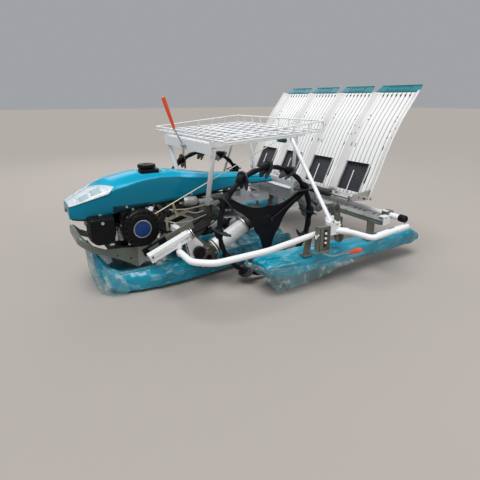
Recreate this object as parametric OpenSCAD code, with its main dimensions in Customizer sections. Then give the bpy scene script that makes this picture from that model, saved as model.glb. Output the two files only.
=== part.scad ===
// Walk-behind four-row rice transplanter, in millimetres.
// +X is the machine's left side, -Y is the way it drives, +Z is up.
// The modules are drawn with y = 0 at the wheel axle; place() moves that to the middle of the length.

/* [Wheels] */
// Radius over the lug tips, which is the height of the axle
lug_tip_r = 330; // [322:1:340]
// Half of the track, measured between the wheel discs
wheel_x = 383; // [378:1:400]
// Height of the lugs over the rim ring
lug_h = 25; // [18:1:30]
// Radial thickness of the rim ring
rim_t = 20; // [14:1:26]
// Width of the rim ring across the wheel
rim_w = 26; // [18:1:34]
// Lugs round one rim
lug_count = 12; // [10:2:14]
// Sideways length of one lug
lug_w = 112; // [90:2:114]
// Thickness of the three-armed wheel disc
disc_t = 8; // [6:1:12]
// Diameter of the wheel axle
axle_d = 25; // [20:1:30]
// Radial play of a shaft in its bore
shaft_play = 0.05; // [0.02:0.01:0.1]

/* [Swing arms] */
// Distance of an arm's tube from the middle of the machine
arm_x = 268; // [262:1:270]
// Diameter of an arm's tube
arm_d = 84; // [70:1:88]
// Distance of the arm's pivot in front of the axle
pivot_y = 330; // [310:1:345]
// Height of the arm's pivot
pivot_z = 165; // [155:1:180]
// Radius of the cast housing at the axle
hub_case_r = 58; // [50:1:64]

/* [Bonnet] */
// Thickness of the bonnet shell
shell_t = 4; // [3:0.5:6]
// Distance of the bonnet's nose in front of the axle
nose_y = 950; // [945:1:960]
// Diameter of the fuel cap
cap_d = 100; // [80:2:110]

/* [Engine] */
// Height of the crankshaft above the ground
crank_z = 343; // [335:1:350]
// Distance of the crankshaft in front of the axle
crank_y = 634; // [625:1:645]
// Radius of the starter cover
starter_r = 98; // [90:1:100]
// Outer face of the starter cover
starter_x = 205; // [195:1:215]

/* [Frame] */
// Outer half width of the front frame plates
frame_x = 152; // [140:1:160]
// Thickness of the frame's plates
plate_t = 5; // [4:0.5:8]
// Distance of the bumper's front face in front of the axle
bumper_y = 934; // [925:1:940]
// Width of the main beam
beam_w = 60; // [50:2:70]

/* [Rack] */
// Half width of the wire basket
basket_x = 450; // [420:5:470]
// Half width of the frame under the basket
rack_x = 316; // [300:2:330]
// Diameter of the basket's wire
wire_d = 8; // [6:0.5:10]
// Distance of the rack's front in front of the axle
rack_front = 300; // [290:5:310]
// Distance of the rack's rear behind the axle
rack_rear = 310; // [300:5:330]
// Height of the rack frame's top at its front
rack_z = 768; // [750:2:780]
// Slope of the rack, up to the rear
rack_tilt = 3.2; // [0:0.1:5]

/* [Guard pipes] */
// Diameter of the side guard pipes
guard_d = 30; // [25:1:34]
// Height of the guard pipes' centre line
guard_z = 300; // [295:1:310]

/* [Tray] */
// Distance between planting rows, also the width of one seedling lane
row_pitch = 300; // [296:1:302]
// Thickness of the tray sheet
tray_t = 6; // [4:0.5:8]
// Height of the tray's coved sides
flange_h = 36; // [25:1:42]
// Height of the ridges between its lanes
ridge_h = 10; // [5:1:15]
// Slide of the tray to each side
feed_travel = 140; // [100:5:140]

/* [Planting gear] */
// Distance of the planting shafts behind the axle
shaft_y = 440; // [435:1:445]
// Height of the planting shafts
shaft_z = 335; // [330:1:340]
// Diameter of the planting shafts
shaft_d = 20; // [16:1:22]
// Throw of the planting cranks
throw_r = 30; // [20:1:30]
// Diameter of the crank pins
pin_d = 12; // [10:1:14]

/* [Floats] */
// Thickness of the side floats
float_h = 100; // [80:5:110]
// Height of the side floats above the ground
float_z = 85; // [80:5:95]

/* [Handles] */
// Diameter of the handle tubes
handle_d = 28; // [24:1:32]
// Half of the distance between the grips
grip_x = 215; // [190:5:220]
// Height of the grips
grip_z = 780; // [760:5:800]
// Distance of the grips' ends behind the axle
grip_y = 1165; // [1150:5:1170]

/* [Hidden] */

$fn = 48;
seat = 0.3;               // gap that is left where a round or sloping piece seats
axle_z = lug_tip_r;
rim_r = lug_tip_r - lug_h; // outer radius of the rim ring
axle_y = -(grip_y - nose_y) / 2;
left = 1;
right = -1;

function unit(v) = v / norm(v);

// A path with its corners rounded: each corner becomes a short curve that starts r before it
function bend(path, r, steps = 4) = [
    path[0],
    for (i = [1:len(path) - 2])
        let (a = path[i] + r * unit(path[i - 1] - path[i]), b = path[i] + r * unit(path[i + 1] - path[i]))
        for (k = [0:steps])
            let (t = k / steps) (1 - t) * (1 - t) * a + 2 * t * (1 - t) * path[i] + t * t * b,
    path[len(path) - 1]];

// Points of a circular arc in the plane
function arc(cx, cy, r, from, to, steps = 6) =
    [for (k = [0:steps]) let (a = from + (to - from) * k / steps) [cx + r * cos(a), cy + r * sin(a)]];

// A closed skin over rings of equal count; each ring runs anticlockwise seen from the last ring
module skin(rings) {
    n = len(rings);
    m = len(rings[0]);
    sides = [for (i = [0:n - 2], k = [0:m - 1])
        [i * m + k, (i + 1) * m + k, (i + 1) * m + (k + 1) % m, i * m + (k + 1) % m]];
    caps = [[for (k = [0:m - 1]) k], [for (k = [m - 1:-1:0]) (n - 1) * m + k]];
    polyhedron(points = [for (ring = rings) each ring], faces = concat(sides, caps), convexity = 6);
}

// A bent pipe along a path that lies in the plane square to up
module pipe(path, d, up = [0, 0, 1], sides = 14) {
    last = len(path) - 1;
    skin([for (i = [0:last])
        let (t = unit(path[min(i + 1, last)] - path[max(i - 1, 0)]), u = unit(cross(up, t)), v = cross(t, u))
        [for (k = [0:sides - 1]) path[i] + d / 2 * (cos(360 * k / sides) * u + sin(360 * k / sides) * v)]]);
}

// A straight round bar from p to q
module bar(p, q, d) {
    v = q - p;
    translate(p) rotate([0, acos(v.z / norm(v)), atan2(v.y, v.x)]) cylinder(h = norm(v), d = d);
}

// A straight bar of rectangular section in a plane of constant x, from [y, z] to [y, z]
module flat_bar(x, p, q, w, h) {
    v = q - p;
    translate([x, p[0], p[1]]) rotate([atan2(v[1], v[0]), 0, 0]) translate([-w / 2, 0, -h / 2])
        cube([w, norm(v), h]);
}

// A plate cut from an outline of [y, z] points, standing from x to x + t
module side_plate(outline, x, t) {
    translate([x, 0, 0]) rotate([90, 0, 90]) linear_extrude(t) polygon(outline);
}

// A cylinder along x that starts at x
module cross_pin(x, y, z, length, d) {
    translate([x, y, z]) rotate([0, 90, 0]) cylinder(h = length, d = d);
}

module place() { translate([0, axle_y, 0]) children(); }

module both_sides() { children(); mirror([1, 0, 0]) children(); }

// Bonnet: columns are y, top z, crease z, edge z, crease half width, edge half width
bonnet_sections = [
    [-nose_y, 470, 462, 426, 62, 74],
    [-nose_y + 22, 492, 474, 427, 92, 100],
    [-880, 524, 494, 431, 118, 124],
    [-804, 557, 514, 437, 134, 138],
    [-728, 586, 530, 442, 140, 145],
    [-601, 606, 546, 447, 138, 148],
    [-442, 598, 550, 456, 126, 142],
    [-341, 580, 544, 460, 112, 130],
    [-154, 554, 526, 468, 84, 108],
    [51, 538, 516, 482, 62, 88],
    [256, 510, 496, 475, 51, 67]];

// Engine

block_x = 92;             // half width of the crankcase
block_y0 = -crank_y - 88; // front face of the crankcase
block_y1 = -crank_y + 78;
block_z0 = 232;           // top of the engine plate
pan_z = block_z0 - plate_t;
cylinder_x = -20;         // middle of the cylinder, which leans forward
fin_x = 62;               // half width of its cooling fins
bonnet_stay_y = -601;
bonnet_edge_x = bonnet_sections[5][5] - shell_t;
bonnet_edge_z = bonnet_sections[5][3];

module engine_block() {
    color([0.09, 0.09, 0.1]) place() {
        translate([-block_x, block_y0, block_z0]) cube([2 * block_x, block_y1 - block_y0, 120]);
        // cylinder, leaning forward, with its cooling fins
        translate([cylinder_x, -crank_y - 10, crank_z + 5]) rotate([65, 0, 0]) {
            translate([-46, -40, 0]) cube([92, 80, 150]);
            for (k = [0:5]) translate([-fin_x, -54, 62 + k * 14]) cube([2 * fin_x, 108, 5]);
        }
        // blower housing between the crankcase and the starter
        cross_pin(block_x, -crank_y, crank_z, starter_x - starter_t - block_x - seat, 2 * starter_r - 4);
        translate([block_x, -crank_y - 90, crank_z]) cube([starter_x - starter_t - block_x - seat, 90, 88]);
        // output shaft housing toward the gearbox
        cross_pin(-block_x - 34, -crank_y, crank_z, 34, 92);
        // stays up to the bonnet's edge
        both_sides() translate([0, bonnet_stay_y, 0]) rotate([90, 0, 0]) linear_extrude(6)
            polygon([[block_x - 30, block_z0 + 100], [block_x, block_z0 + 100], [bonnet_edge_x + 4, bonnet_edge_z - 1],
                [bonnet_edge_x - 16, bonnet_edge_z - 1]]);
    }
}

starter_t = 42;           // depth of the starter cover
starter_slots = 10;

module starter_cover() {
    color([0.06, 0.06, 0.07]) place() translate([starter_x - starter_t, -crank_y, crank_z]) rotate([0, 90, 0])
        difference() {
            union() {
                cylinder(h = starter_t - 14, r = starter_r);
                translate([0, 0, starter_t - 14]) cylinder(h = 8, r1 = starter_r, r2 = starter_r - 8);
                translate([0, 0, starter_t - 6]) cylinder(h = 6, r = starter_r * 0.62);
            }
            for (k = [0:starter_slots - 1]) rotate(k * 360 / starter_slots)
                translate([starter_r * 0.72, -5, starter_t - 16]) cube([starter_r * 0.2, 10, 20]);
        }
}

cleaner_x0 = block_x + 6;
cleaner_y = -820;         // middle of the air cleaner
cleaner_z = 354;

module air_cleaner() {
    outline = [[-62, 60], [-56, 70], [56, 70], [62, 60], [64, -26], [46, -58], [30, -70], [-34, -70],
        [-52, -54], [-64, -26]];
    color([0.05, 0.05, 0.06]) place() {
        translate([cleaner_x0, cleaner_y, cleaner_z]) rotate([90, 0, 90]) linear_extrude(92) polygon(outline);
        // rim where the cover closes on the base
        translate([cleaner_x0 + 28, cleaner_y, cleaner_z]) rotate([90, 0, 90]) linear_extrude(8)
            polygon(outline * 1.04);
        // intake elbow back to the cylinder
        translate([cylinder_x + fin_x + seat, cleaner_y + 14, cleaner_z]) cube([cleaner_x0 - cylinder_x - fin_x - seat, 40, 40]);
    }
}

module muffler() {
    color([0.28, 0.27, 0.26]) place() {
        translate([-192, -846, 296]) cube([84, 156, 88]);
        for (k = [0:3]) translate([-196, -834 + k * 36, 302]) cube([92, 14, 76]);
        // exhaust stub
        bar([-150, -760, 298], [-150, -782, 262], 28);
        // pipe from the cylinder
        translate([-110, -770, 350]) cube([110 + cylinder_x - fin_x - seat, 34, 30]);
    }
}

// One ring of the bonnet: up the right side, over the crown and down the left side
function bonnet_ring(s, t, drop, y) =
    let (edge = [s[5] - t, s[3] - drop], crease = [s[4] - t, s[2] - t * 0.6], rise = s[1] - t - crease[1])
    let (half = concat([edge, [(edge[0] + crease[0]) / 2 + 3, (edge[1] + crease[1]) / 2], crease],
        [for (a = [30, 60]) [crease[0] * cos(a), crease[1] + rise * sin(a)]]))
    [for (p = half) [-p[0], y, p[1]], [0, y, crease[1] + rise],
        for (i = [len(half) - 1:-1:0]) [half[i][0], y, half[i][1]]];

module bonnet() {
    last = len(bonnet_sections) - 1;
    color([0.04, 0.55, 0.63]) place() {
        difference() {
            skin([for (s = bonnet_sections) bonnet_ring(s, 0, 0, s[0])]);
            skin([for (i = [0:last]) let (s = bonnet_sections[i])
                bonnet_ring(s, shell_t, 12, s[0] + (i == 0 ? shell_t : i == last ? -shell_t : 0))]);
        }
    }
}

// Half width of the bonnet's side at a depth under the crease of section s
function bonnet_side(s, depth) = s[4] + ((s[5] - s[4]) / 2 + 3) * depth / ((s[2] - s[3]) / 2);

module headlamp() {
    // lamp lens on each side of the nose: it folds over the crease and seats on the shell
    lens_t = 4;
    lift = 1.8;           // keeps the lens clear of the shell between sections
    color([0.9, 0.93, 0.95]) place() for (side = [left, right])
        skin([for (i = [0:3]) let (s = bonnet_sections[i], drop = 14, rise = s[1] - s[2])
            let (ring = [[bonnet_side(s, drop) + lift, s[2] - drop], [bonnet_side(s, drop) + lens_t, s[2] - drop + 1],
                [s[4] + lens_t, s[2] + 3], [s[4] * cos(30) + 2, s[2] + rise / 2 + lens_t],
                [s[4] * cos(30) + lift / 2, s[2] + rise / 2 + lift], [s[4] + lift, s[2] + lift / 2]])
            [for (k = [0:5]) let (p = ring[side > 0 ? 5 - k : k]) [side * p[0], s[0], p[1]]]]);
}

cap_y = -520;
cap_z = 605.8;

module fuel_cap() {
    color([0.06, 0.06, 0.07]) place() translate([0, cap_y, cap_z]) {
        cylinder(h = 12, d = cap_d + 34);
        translate([0, 0, 12]) cylinder(h = 8, d = cap_d - 12);
        translate([0, 0, 20]) cylinder(h = 22, d = cap_d);
        for (k = [0:11]) rotate(k * 30) translate([cap_d / 2 - 2, -4, 20]) cube([5, 8, 20]);
    }
}

// Frame

bumper_r = 56;            // radius of the bumper's corners
bumper_z = 310;           // middle of the bumper's band at the front
bumper_h = 42;            // its height there
bumper_lip = 20;          // lip that is folded inward along its top
bumper_end = -872;        // where the bumper meets the side plates
arm_z = 263;              // middle and height of the band there
arm_h = 38;

module bumper() {
    // half of the path, from the side plate to the middle: x, y and the outward angle
    turn = [for (a = [0:15:90]) [frame_x - bumper_r + bumper_r * cos(a), -bumper_y + bumper_r - bumper_r * sin(a), a]];
    half = concat([[frame_x, bumper_end, 0]], turn);
    path = concat(half, [for (i = [len(half) - 1:-1:0]) [-half[i][0], half[i][1], 180 - half[i][2]]]);
    color([0.42, 0.45, 0.40]) place() skin([for (p = path)
        let (f = min(1, (bumper_end - p[1]) / (bumper_end + bumper_y)), z = arm_z + (bumper_z - arm_z) * f,
            h = (arm_h + (bumper_h - arm_h) * f) / 2, out = [cos(p[2]), -sin(p[2]), 0])
        [for (q = [[0, -h], [0, h - 5], [-5, h], [-bumper_lip, h], [-bumper_lip, h - plate_t],
            [-plate_t - 3, h - plate_t], [-plate_t, h - plate_t - 3], [-plate_t, -h]])
            [p[0], p[1], z] + q[0] * out + [0, 0, q[1]]]]);
}

module frame_plates() {
    side = [[bumper_end, arm_z + arm_h / 2], [bumper_end, arm_z - arm_h / 2], [-813, 218], [-760, 191],
        [-688, 149], [-662, 128], [-650, 128], [-588, 168], [-455, 236], [-350, 296], [-350, 350],
        [-440, 330], [-540, 256], [-640, 234], [-732, 243], [-815, 252]];
    color([0.42, 0.45, 0.40]) place() {
        both_sides() difference() {
            side_plate(side, frame_x - plate_t, plate_t);
            for (p = [[-757, 207], [-691, 179]]) cross_pin(frame_x - 2 * plate_t, p[0], p[1], 3 * plate_t, 10);
        }
        // engine plate
        translate([-frame_x + plate_t, -790, pan_z]) cube([2 * (frame_x - plate_t), 260, plate_t]);
        // cross tubes
        for (p = [[-673, 150], [-520, 222]])
            cross_pin(-frame_x + plate_t, p[0], p[1], 2 * (frame_x - plate_t), 26);
        // feet that hold the gearbox
        both_sides() translate([gear_x + seat, gear_y0 + 2, 258]) cube([frame_x - plate_t - gear_x - seat, 16, 20]);
    }
}

gear_y0 = -470;
gear_y1 = -40;
gear_x = 78;              // half width of the gearbox

module gearbox() {
    color([0.66, 0.67, 0.66]) place() {
        side_plate([[gear_y0, 262], [gear_y0, 400], [-400, 436], [-250, 440], [-180, 400], [gear_y1, 402],
            [gear_y1, 340], [-160, 300], [-250, 210], [-330, 180], [-400, 200]], -gear_x, 2 * gear_x);
        // cross housing of the wheel drive, out to the swing arms
        cross_pin(-arm_x + arm_d / 2 + seat, -pivot_y, pivot_z + 20, 2 * (arm_x - arm_d / 2 - seat), 92);
        // clutch and shift bosses on the left
        cross_pin(gear_x, -350, 350, 30, 84);
        cross_pin(gear_x, -250, 380, 36, 56);
        cross_pin(gear_x, -420, 326, 24, 60);
        // belt drive side
        cross_pin(-gear_x - 40, -400, 332, 40, 140);
    }
}

beam_z = 372;
beam_h = 50;
tail_x = bonnet_sections[9][5] - shell_t + 2;
tail_z = bonnet_sections[9][3] - 1.4;

module main_beam() {
    color([0.86, 0.87, 0.86]) place() {
        translate([-beam_w / 2, gear_y1 + seat, beam_z - beam_h / 2]) cube([beam_w, 262 - gear_y1 - 2 * seat, beam_h]);
        // stays that carry the bonnet's tail and the rack posts
        both_sides() flat_bar(beam_w / 2 + 4, [60, beam_z + beam_h / 2 - 10], [60, tail_z - 5], 8, 40);
        translate([-tail_x, 40, tail_z - 10]) cube([2 * tail_x, 40, 10]);
        translate([-beam_w / 2 - 30, 120, beam_z + 14]) cube([beam_w + 60, 40, 10]);
    }
}

// Swing arms

module swing_arm() {
    p = [arm_x, -pivot_y, pivot_z];
    q = [arm_x, 0, axle_z];
    v = unit(q - p);
    color([0.92, 0.92, 0.9]) {
        bar(p + 66 * v, q - 90 * v, arm_d);
        bar(q - 100 * v, q - 84 * v, arm_d + 20);
    }
    color([0.35, 0.35, 0.34]) difference() {
        union() {
            cross_pin(arm_x - arm_d / 2, -pivot_y, pivot_z, arm_d + 6, 128);
            cross_pin(arm_x + arm_d / 2 + 6, -pivot_y, pivot_z, 10, 74);
            bar(p + 30 * v, p + 80 * v, arm_d - 2);
            bar(q - 90 * v, q, arm_d - 4);
            cross_pin(arm_x - arm_d / 2, 0, axle_z, arm_d + 12, 2 * hub_case_r);
            cross_pin(arm_x + arm_d / 2 + 12, 0, axle_z, wheel_x - hub_t - arm_x - arm_d / 2 - 12 - seat, 70);
        }
        cross_pin(arm_x - 20, 0, axle_z, 200, axle_d + 2 * shaft_play);
        cross_pin(arm_x + arm_d / 2 - 20, -pivot_y, pivot_z, 60, 40);
    }
}

module swing_arm_left() { place() swing_arm(); }
module swing_arm_right() { place() mirror([1, 0, 0]) swing_arm(); }

// Wheels

hub_t = 24;               // from the disc's middle to the hub's inner end
disc_root = 62;           // radius at which neighbouring arms of the disc meet
arm_tip_w = 40;           // width of a disc arm at the rim

// Half width of a disc arm at radius r: it narrows in a curve toward the rim
function disc_arm(r) = arm_tip_w / 2 +
    (disc_root * tan(60) - arm_tip_w / 2) * pow((rim_r - rim_t - r) / (rim_r - rim_t - disc_root), 3.8);

module wheel_disc() {
    radii = [for (k = [0:7]) disc_root + (rim_r - rim_t / 2 - disc_root) * k / 7];
    inner = [for (r = radii) [r, disc_arm(min(r, rim_r - rim_t))]];
    one = concat([for (p = inner) [p[0], -p[1]]], [for (i = [7:-1:0]) inner[i]]);
    linear_extrude(disc_t, center = true) polygon([for (a = [0, 120, 240], p = one)
        [p[0] * cos(a) - p[1] * sin(a), p[0] * sin(a) + p[1] * cos(a)]]);
}

lug_back = 30;            // foot of a paddle ahead of its tip, along the ring

module lug() {
    half = lug_w / 2;
    foot = rim_r - rim_t + 2;
    rise = lug_tip_r - foot + 3;
    long = norm([rise, lug_back]);
    // paddle across the wheel: its tip trails its foot in the ring
    translate([foot - 3, lug_back, 0]) rotate(-atan2(lug_back, rise)) rotate([90, 0, 0]) linear_extrude(8)
        polygon([[-4, -half * 0.3], [8, -half * 0.62], [long * 0.45, -half], [long - 10, -half],
            [long, -half * 0.66], [long, half * 0.66], [long - 10, half], [long * 0.45, half],
            [8, half * 0.62], [-4, half * 0.3]]);
    // rubber hump that grips the rim
    translate([0, 0, -rim_w / 2 - 5]) linear_extrude(rim_w + 10)
        polygon([[foot - 8, -14], [rim_r + 2, -18], [lug_tip_r - 12, 4], [lug_tip_r - 16, 14],
            [rim_r + 3, 38], [foot - 8, 42]]);
}

module wheel() {
    translate([wheel_x, 0, axle_z]) rotate([0, 90, 0]) color([0.07, 0.07, 0.08]) {
        difference() {
            rotate_extrude($fn = 72) polygon([[rim_r - rim_t, -rim_w / 2], [rim_r - 3, -rim_w / 2],
                [rim_r, -rim_w / 2 + 4], [rim_r, rim_w / 2 - 4], [rim_r - 3, rim_w / 2],
                [rim_r - rim_t, rim_w / 2]]);
        }
        wheel_disc();
        // stiffening rib on the rear upper arm
        rotate(120) translate([disc_root, 0, disc_t / 2]) rotate([0, 90, 0])
            cylinder(h = rim_r - rim_t - disc_root, d = 12);
        translate([0, 0, -hub_t]) cylinder(h = hub_t + 10, d = 62);
        translate([0, 0, 10]) cylinder(h = 12, d = 36, $fn = 6);
        // axle in the arm's housing
        translate([0, 0, -hub_t - 60]) cylinder(h = 62, d = axle_d);
        for (k = [0:lug_count - 1]) rotate(k * 360 / lug_count) lug();
    }
}

module wheel_left() { place() wheel(); }
module wheel_right() { place() mirror([1, 0, 0]) wheel(); }

// Rack

post_d = 26;
rail_h = 28;

module tilt_rack() {
    translate([0, -rack_front, rack_z]) rotate([rack_tilt, 0, 0]) children();
}

rack_len = rack_front + rack_rear;

// Height of the side rails' underside at a distance y behind the axle
function rack_under(y) = rack_z + (y + rack_front) * sin(rack_tilt) - rail_h - 4;

module rack_frame() {
    color([0.93, 0.93, 0.92]) place() tilt_rack() {
        // folded front plate
        translate([-rack_x, -2, -70]) cube([2 * rack_x, 4, 56]);
        translate([-rack_x, -2, -18]) cube([2 * rack_x, 46, 4]);
        both_sides() translate([rack_x - 22, 0, -rail_h - 4]) cube([22, rack_len - 10, rail_h + 4]);
        for (y = [rack_len * 0.45, rack_len - 40]) translate([-rack_x + 20, y, -rail_h])
            cube([2 * rack_x - 40, 26, rail_h]);
    }
}

basket_rail_front = 26;   // height of the basket's rails over its floor, at the front
basket_rail_rear = 50;    // and at the rear
wires_along = 12;
wires_across = 9;

module rack_basket() {
    $fn = 6;
    z = seat + wire_d / 2;
    color([0.95, 0.95, 0.94]) place() tilt_rack() {
        for (k = [0:wires_along - 1]) let (x = -basket_x + 2 * basket_x * k / (wires_along - 1))
            bar([x, 0, z], [x, rack_len, z], wire_d);
        for (k = [0:wires_across - 1]) let (y = rack_len * k / (wires_across - 1))
            bar([-basket_x, y, z + wire_d * 0.6], [basket_x, y, z + wire_d * 0.6], wire_d);
        // side, front and rear hoops
        both_sides() {
            bar([basket_x, 0, z + basket_rail_front], [basket_x, rack_len, z + basket_rail_rear], wire_d);
            for (k = [0:5]) let (f = k / 5)
                bar([basket_x, f * rack_len, z],
                    [basket_x, f * rack_len, z + basket_rail_front * (1 - f) + basket_rail_rear * f], wire_d);
        }
        bar([-basket_x, rack_len, z + basket_rail_rear], [basket_x, rack_len, z + basket_rail_rear], wire_d);
        bar([-basket_x, 0, z + basket_rail_front], [basket_x, 0, z + basket_rail_front], wire_d);
        for (k = [1:8]) let (x = -basket_x + 2 * basket_x * k / 9) {
            bar([x, rack_len, z], [x, rack_len, z + basket_rail_rear], wire_d);
            bar([x, 0, z], [x, 0, z + basket_rail_front], wire_d);
        }
    }
}

clamp_x = 610;            // where a rear post stands on the guard pipe
clamp_y = 252;

module rack_posts() {
    color([0.92, 0.92, 0.91]) place() both_sides() {
        // front post down to the frame's top, rear post out to the guard pipe
        bar([rack_x - 9, -rack_front + 20, rack_under(-rack_front + 20) - 5.5], [165, -252, 412], post_d);
        bar([rack_x - 11, 208, rack_under(208) - 7], [clamp_x, clamp_y, guard_z + 44], post_d - 4);
        // inner rear stay
        bar([rack_x - 60, 284, rack_under(284) + 4 - 2.5], [210, 300, 503], post_d - 6);
        // clamp on the guard pipe
        translate([clamp_x - 20, clamp_y - 26, guard_z + guard_d / 2 + seat]) cube([40, 52, 34]);
    }
}

// Guard pipes: corners from the front bracket to the rear end, as x, y and height over the pipe's level
guard_corners = [[338, -500, -50], [400, -520, -50], [478, -556, 0], [620, -560, 0], [686, -480, 0],
    [682, -200, 0], [612, 150, 0], [618, 268, 0], [680, 318, 0], [812, 342, 0], [772, 660, 0]];

module guard_pipe() {
    color([0.93, 0.93, 0.93])
        pipe(bend([for (p = guard_corners) [p[0], p[1], guard_z + p[2]]], 34), guard_d, sides = 14);
}

module guard_pipe_left() { place() guard_pipe(); }
module guard_pipe_right() { place() mirror([1, 0, 0]) guard_pipe(); }

module guard_brackets() {
    color([0.94, 0.94, 0.93]) place() both_sides() {
        // inclined channel
        flat_bar(345, [-652, 240], [-440, 322], 40, 44);
        // boss that the guard pipe starts from
        translate([352, -505, guard_z - 50 + guard_d / 2 + seat]) cylinder(h = 30, d = 26);
    }
    color([0.2, 0.2, 0.2]) place() both_sides()
        flat_bar(300, [-668, 250], [-400, 357], 8, 40);
    color([0.9, 0.9, 0.89]) place() both_sides() {
        translate([frame_x + seat, -470, 296]) cube([345 - 20 - frame_x, 30, 30]);
        translate([frame_x + seat, -600, 222]) cube([345 - 18 - frame_x, 26, 24]);
    }
}

module marker_brackets() {
    color([0.66, 0.66, 0.6]) place() both_sides() {
        difference() {
            translate([634.6, 118, 226]) cube([39.4, 70, 124]);
            translate([630, 122, 220]) cube([39.4, 62, 136]);
        }
        bar([660, 186, 250], [668, 300, 238], 6);
    }
    color([0.85, 0.3, 0.1]) place() both_sides() bar([668, 300, 238], [678, 420, 232], 14);
}

// Floats

deck_z = 104;             // height of the centre float's deck

module centre_float() {
    // columns are y, bottom z, top z, half width
    sections = [[-868, 208, 242, 96], [-852, 150, 240, 132], [-826, 92, 184, 156], [-795, 42, 134, 172],
        [-750, 8, deck_z + 4, 188], [-702, 0, deck_z, 202], [-560, 0, deck_z, 226], [-430, 0, deck_z, 224],
        [-114, 0, 100, 196], [300, 0, 96, 112], [400, 0, 90, 84], [430, 10, 70, 60]];
    color([0.1, 0.55, 0.62]) place() skin([for (s = sections) let (w = s[3], b = s[1], t = s[2], e = min(30, (t - b) * 0.35))
        [[-w + 22, s[0], b], [-w, s[0], b + e], [-w + 4, s[0], t - e], [-w + 34, s[0], t],
        [w - 34, s[0], t], [w - 4, s[0], t - e], [w, s[0], b + e], [w - 22, s[0], b]]]);
}

module side_float() {
    // columns are y, bottom z, top z, inner x, outer x
    sections = [[-150, 60, 86, 466, 596], [-120, 26, 96, 454, 612], [-40, 4, 100, 448, 620],
        [180, 0, 100, 448, 622], [360, 0, 100, 450, 622], [430, 0, 100, 494, 622], [960, 0, 100, 498, 616],
        [1030, 14, 60, 512, 602]];
    color([0.1, 0.55, 0.62]) translate([0, 0, float_z])
        skin([for (s = sections) let (e = min(26, (s[2] - s[1]) * 0.35) * float_h / 100)
            let (b = s[1], t = s[2] * float_h / 100)
            [[s[3] + 14, s[0], b], [s[3], s[0], b + e], [s[3] + 3, s[0], t - e], [s[3] + 26, s[0], t],
            [s[4] - 26, s[0], t], [s[4] - 3, s[0], t - e], [s[4], s[0], b + e], [s[4] - 14, s[0], b]]]);
}

module side_float_left() { place() side_float(); }
module side_float_right() { place() mirror([1, 0, 0]) side_float(); }

float_top = float_z + float_h;

module float_links() {
    color([0.45, 0.47, 0.42]) place() {
        // front bracket of the centre float
        side_plate([[-748, deck_z + 4 + seat], [-702, deck_z + seat], [-690, pan_z - seat],
            [-768, pan_z - seat]], -30, 60);
        // rear link of the centre float, up to the planting gear's cover
        translate([-24, 240, 96.9]) cube([48, 50, 30]);
        flat_bar(0, [265, 120], [300.8, 383], 36, 10);
        both_sides() {
            // side float's rear hanger under the guide rail
            flat_bar(590, [585, float_top + seat + 4], [585, rail_z0 - seat], 8, 60);
            translate([570, 545, float_top + seat]) cube([44, 70, 8]);
            // side float's front hanger under the guard pipe
            flat_bar(600, [96, float_top + seat + 6], [110, guard_z - guard_d / 2 - 4], 8, 40);
            translate([580, 70, float_top + seat]) cube([36, 60, 8]);
        }
    }
}

// Planting gear

cover_x0 = -200;
cover_x1 = 250;

module planting_cover() {
    color([0.78, 0.79, 0.79]) place() {
        side_plate([[262, 384], [262, 452], [276, 468], [290, 500], [340, 500], [356, 478], [372, 470],
            [372, 384]], cover_x0, cover_x1 - cover_x0);
        cross_pin(cover_x1, 300, 420, 16, 88);
        // drive tube out to the planting cases
        cross_pin(-case_x, 312, 412, 2 * case_x, 52);
        // housing of the feed screw, which the boot closes
        cross_pin(boot_x0 - 50, boot_y, boot_z, 50 - seat, 50);
    }
}

case_x = 290;             // middle of a planting case
case_w = 44;

module planting_cases() {
    outline = concat(arc(312, 410, 40, 45, 240, 8), arc(shaft_y, shaft_z, 34, 240, 405, 8));
    color([0.62, 0.63, 0.62]) place() both_sides() difference() {
        side_plate(outline, case_x - case_w / 2, case_w);
        cross_pin(case_x - case_w, shaft_y, shaft_z, 2 * case_w, shaft_d + 2 * shaft_play);
        cross_pin(case_x - case_w, 312, 412, 2 * case_w, 52.2);
    }
}

boot_y = 396;
boot_z = 450;
boot_x0 = 150;            // ends of the boot over the feed screw
boot_x1 = 440;
rod_d = 14;

module feed_boot() {
    folds = 12;
    pitch = (boot_x1 - boot_x0) / folds;
    color([0.08, 0.08, 0.09]) place() translate([boot_x0, boot_y, boot_z]) rotate([0, 90, 0])
        rotate_extrude() polygon(concat([[rod_d / 2 + 2, 0]],
            [for (k = [0:folds - 1]) each [[16, (k + 0.1) * pitch], [21, (k + 0.5) * pitch], [16, (k + 0.9) * pitch]]],
            [[rod_d / 2 + 2, folds * pitch]]));
}

rail_y = 556;
rail_z0 = 300;
rail_z1 = 344;
rail_x = 700;

module guide_rail() {
    color([0.72, 0.73, 0.73]) place() difference() {
        side_plate([[rail_y, rail_z0], [rail_y, rail_z1], [rail_y + 44, rail_z1], [rail_y + 44, rail_z1 - 4],
            [rail_y + 4, rail_z1 - 4], [rail_y + 4, rail_z0 + 4], [rail_y + 52, rail_z0 + 4],
            [rail_y + 52, rail_z0]], -rail_x, 2 * rail_x);
        for (k = [-9:9]) translate([k * 70 - 22, rail_y - 10, rail_z0 + 16]) cube([44, 20, 12]);
    }
}

end_tube_y = 630;
end_tube_z = 345;

module end_tube() {
    color([0.8, 0.8, 0.8]) place() {
        cross_pin(-756, end_tube_y, end_tube_z, 1512, 32);
        both_sides() for (x = [140, 640]) translate([x, rail_y + 4 + seat, end_tube_z - 27])
            cube([20, end_tube_y - rail_y - 6, 16]);
    }
    color([0.05, 0.05, 0.05]) place() both_sides() cross_pin(750, end_tube_y, end_tube_z, 24, 38);
}

stay_y = 775;             // rail behind the tray that its upper slide bar runs along
stay_z = 803;

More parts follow.
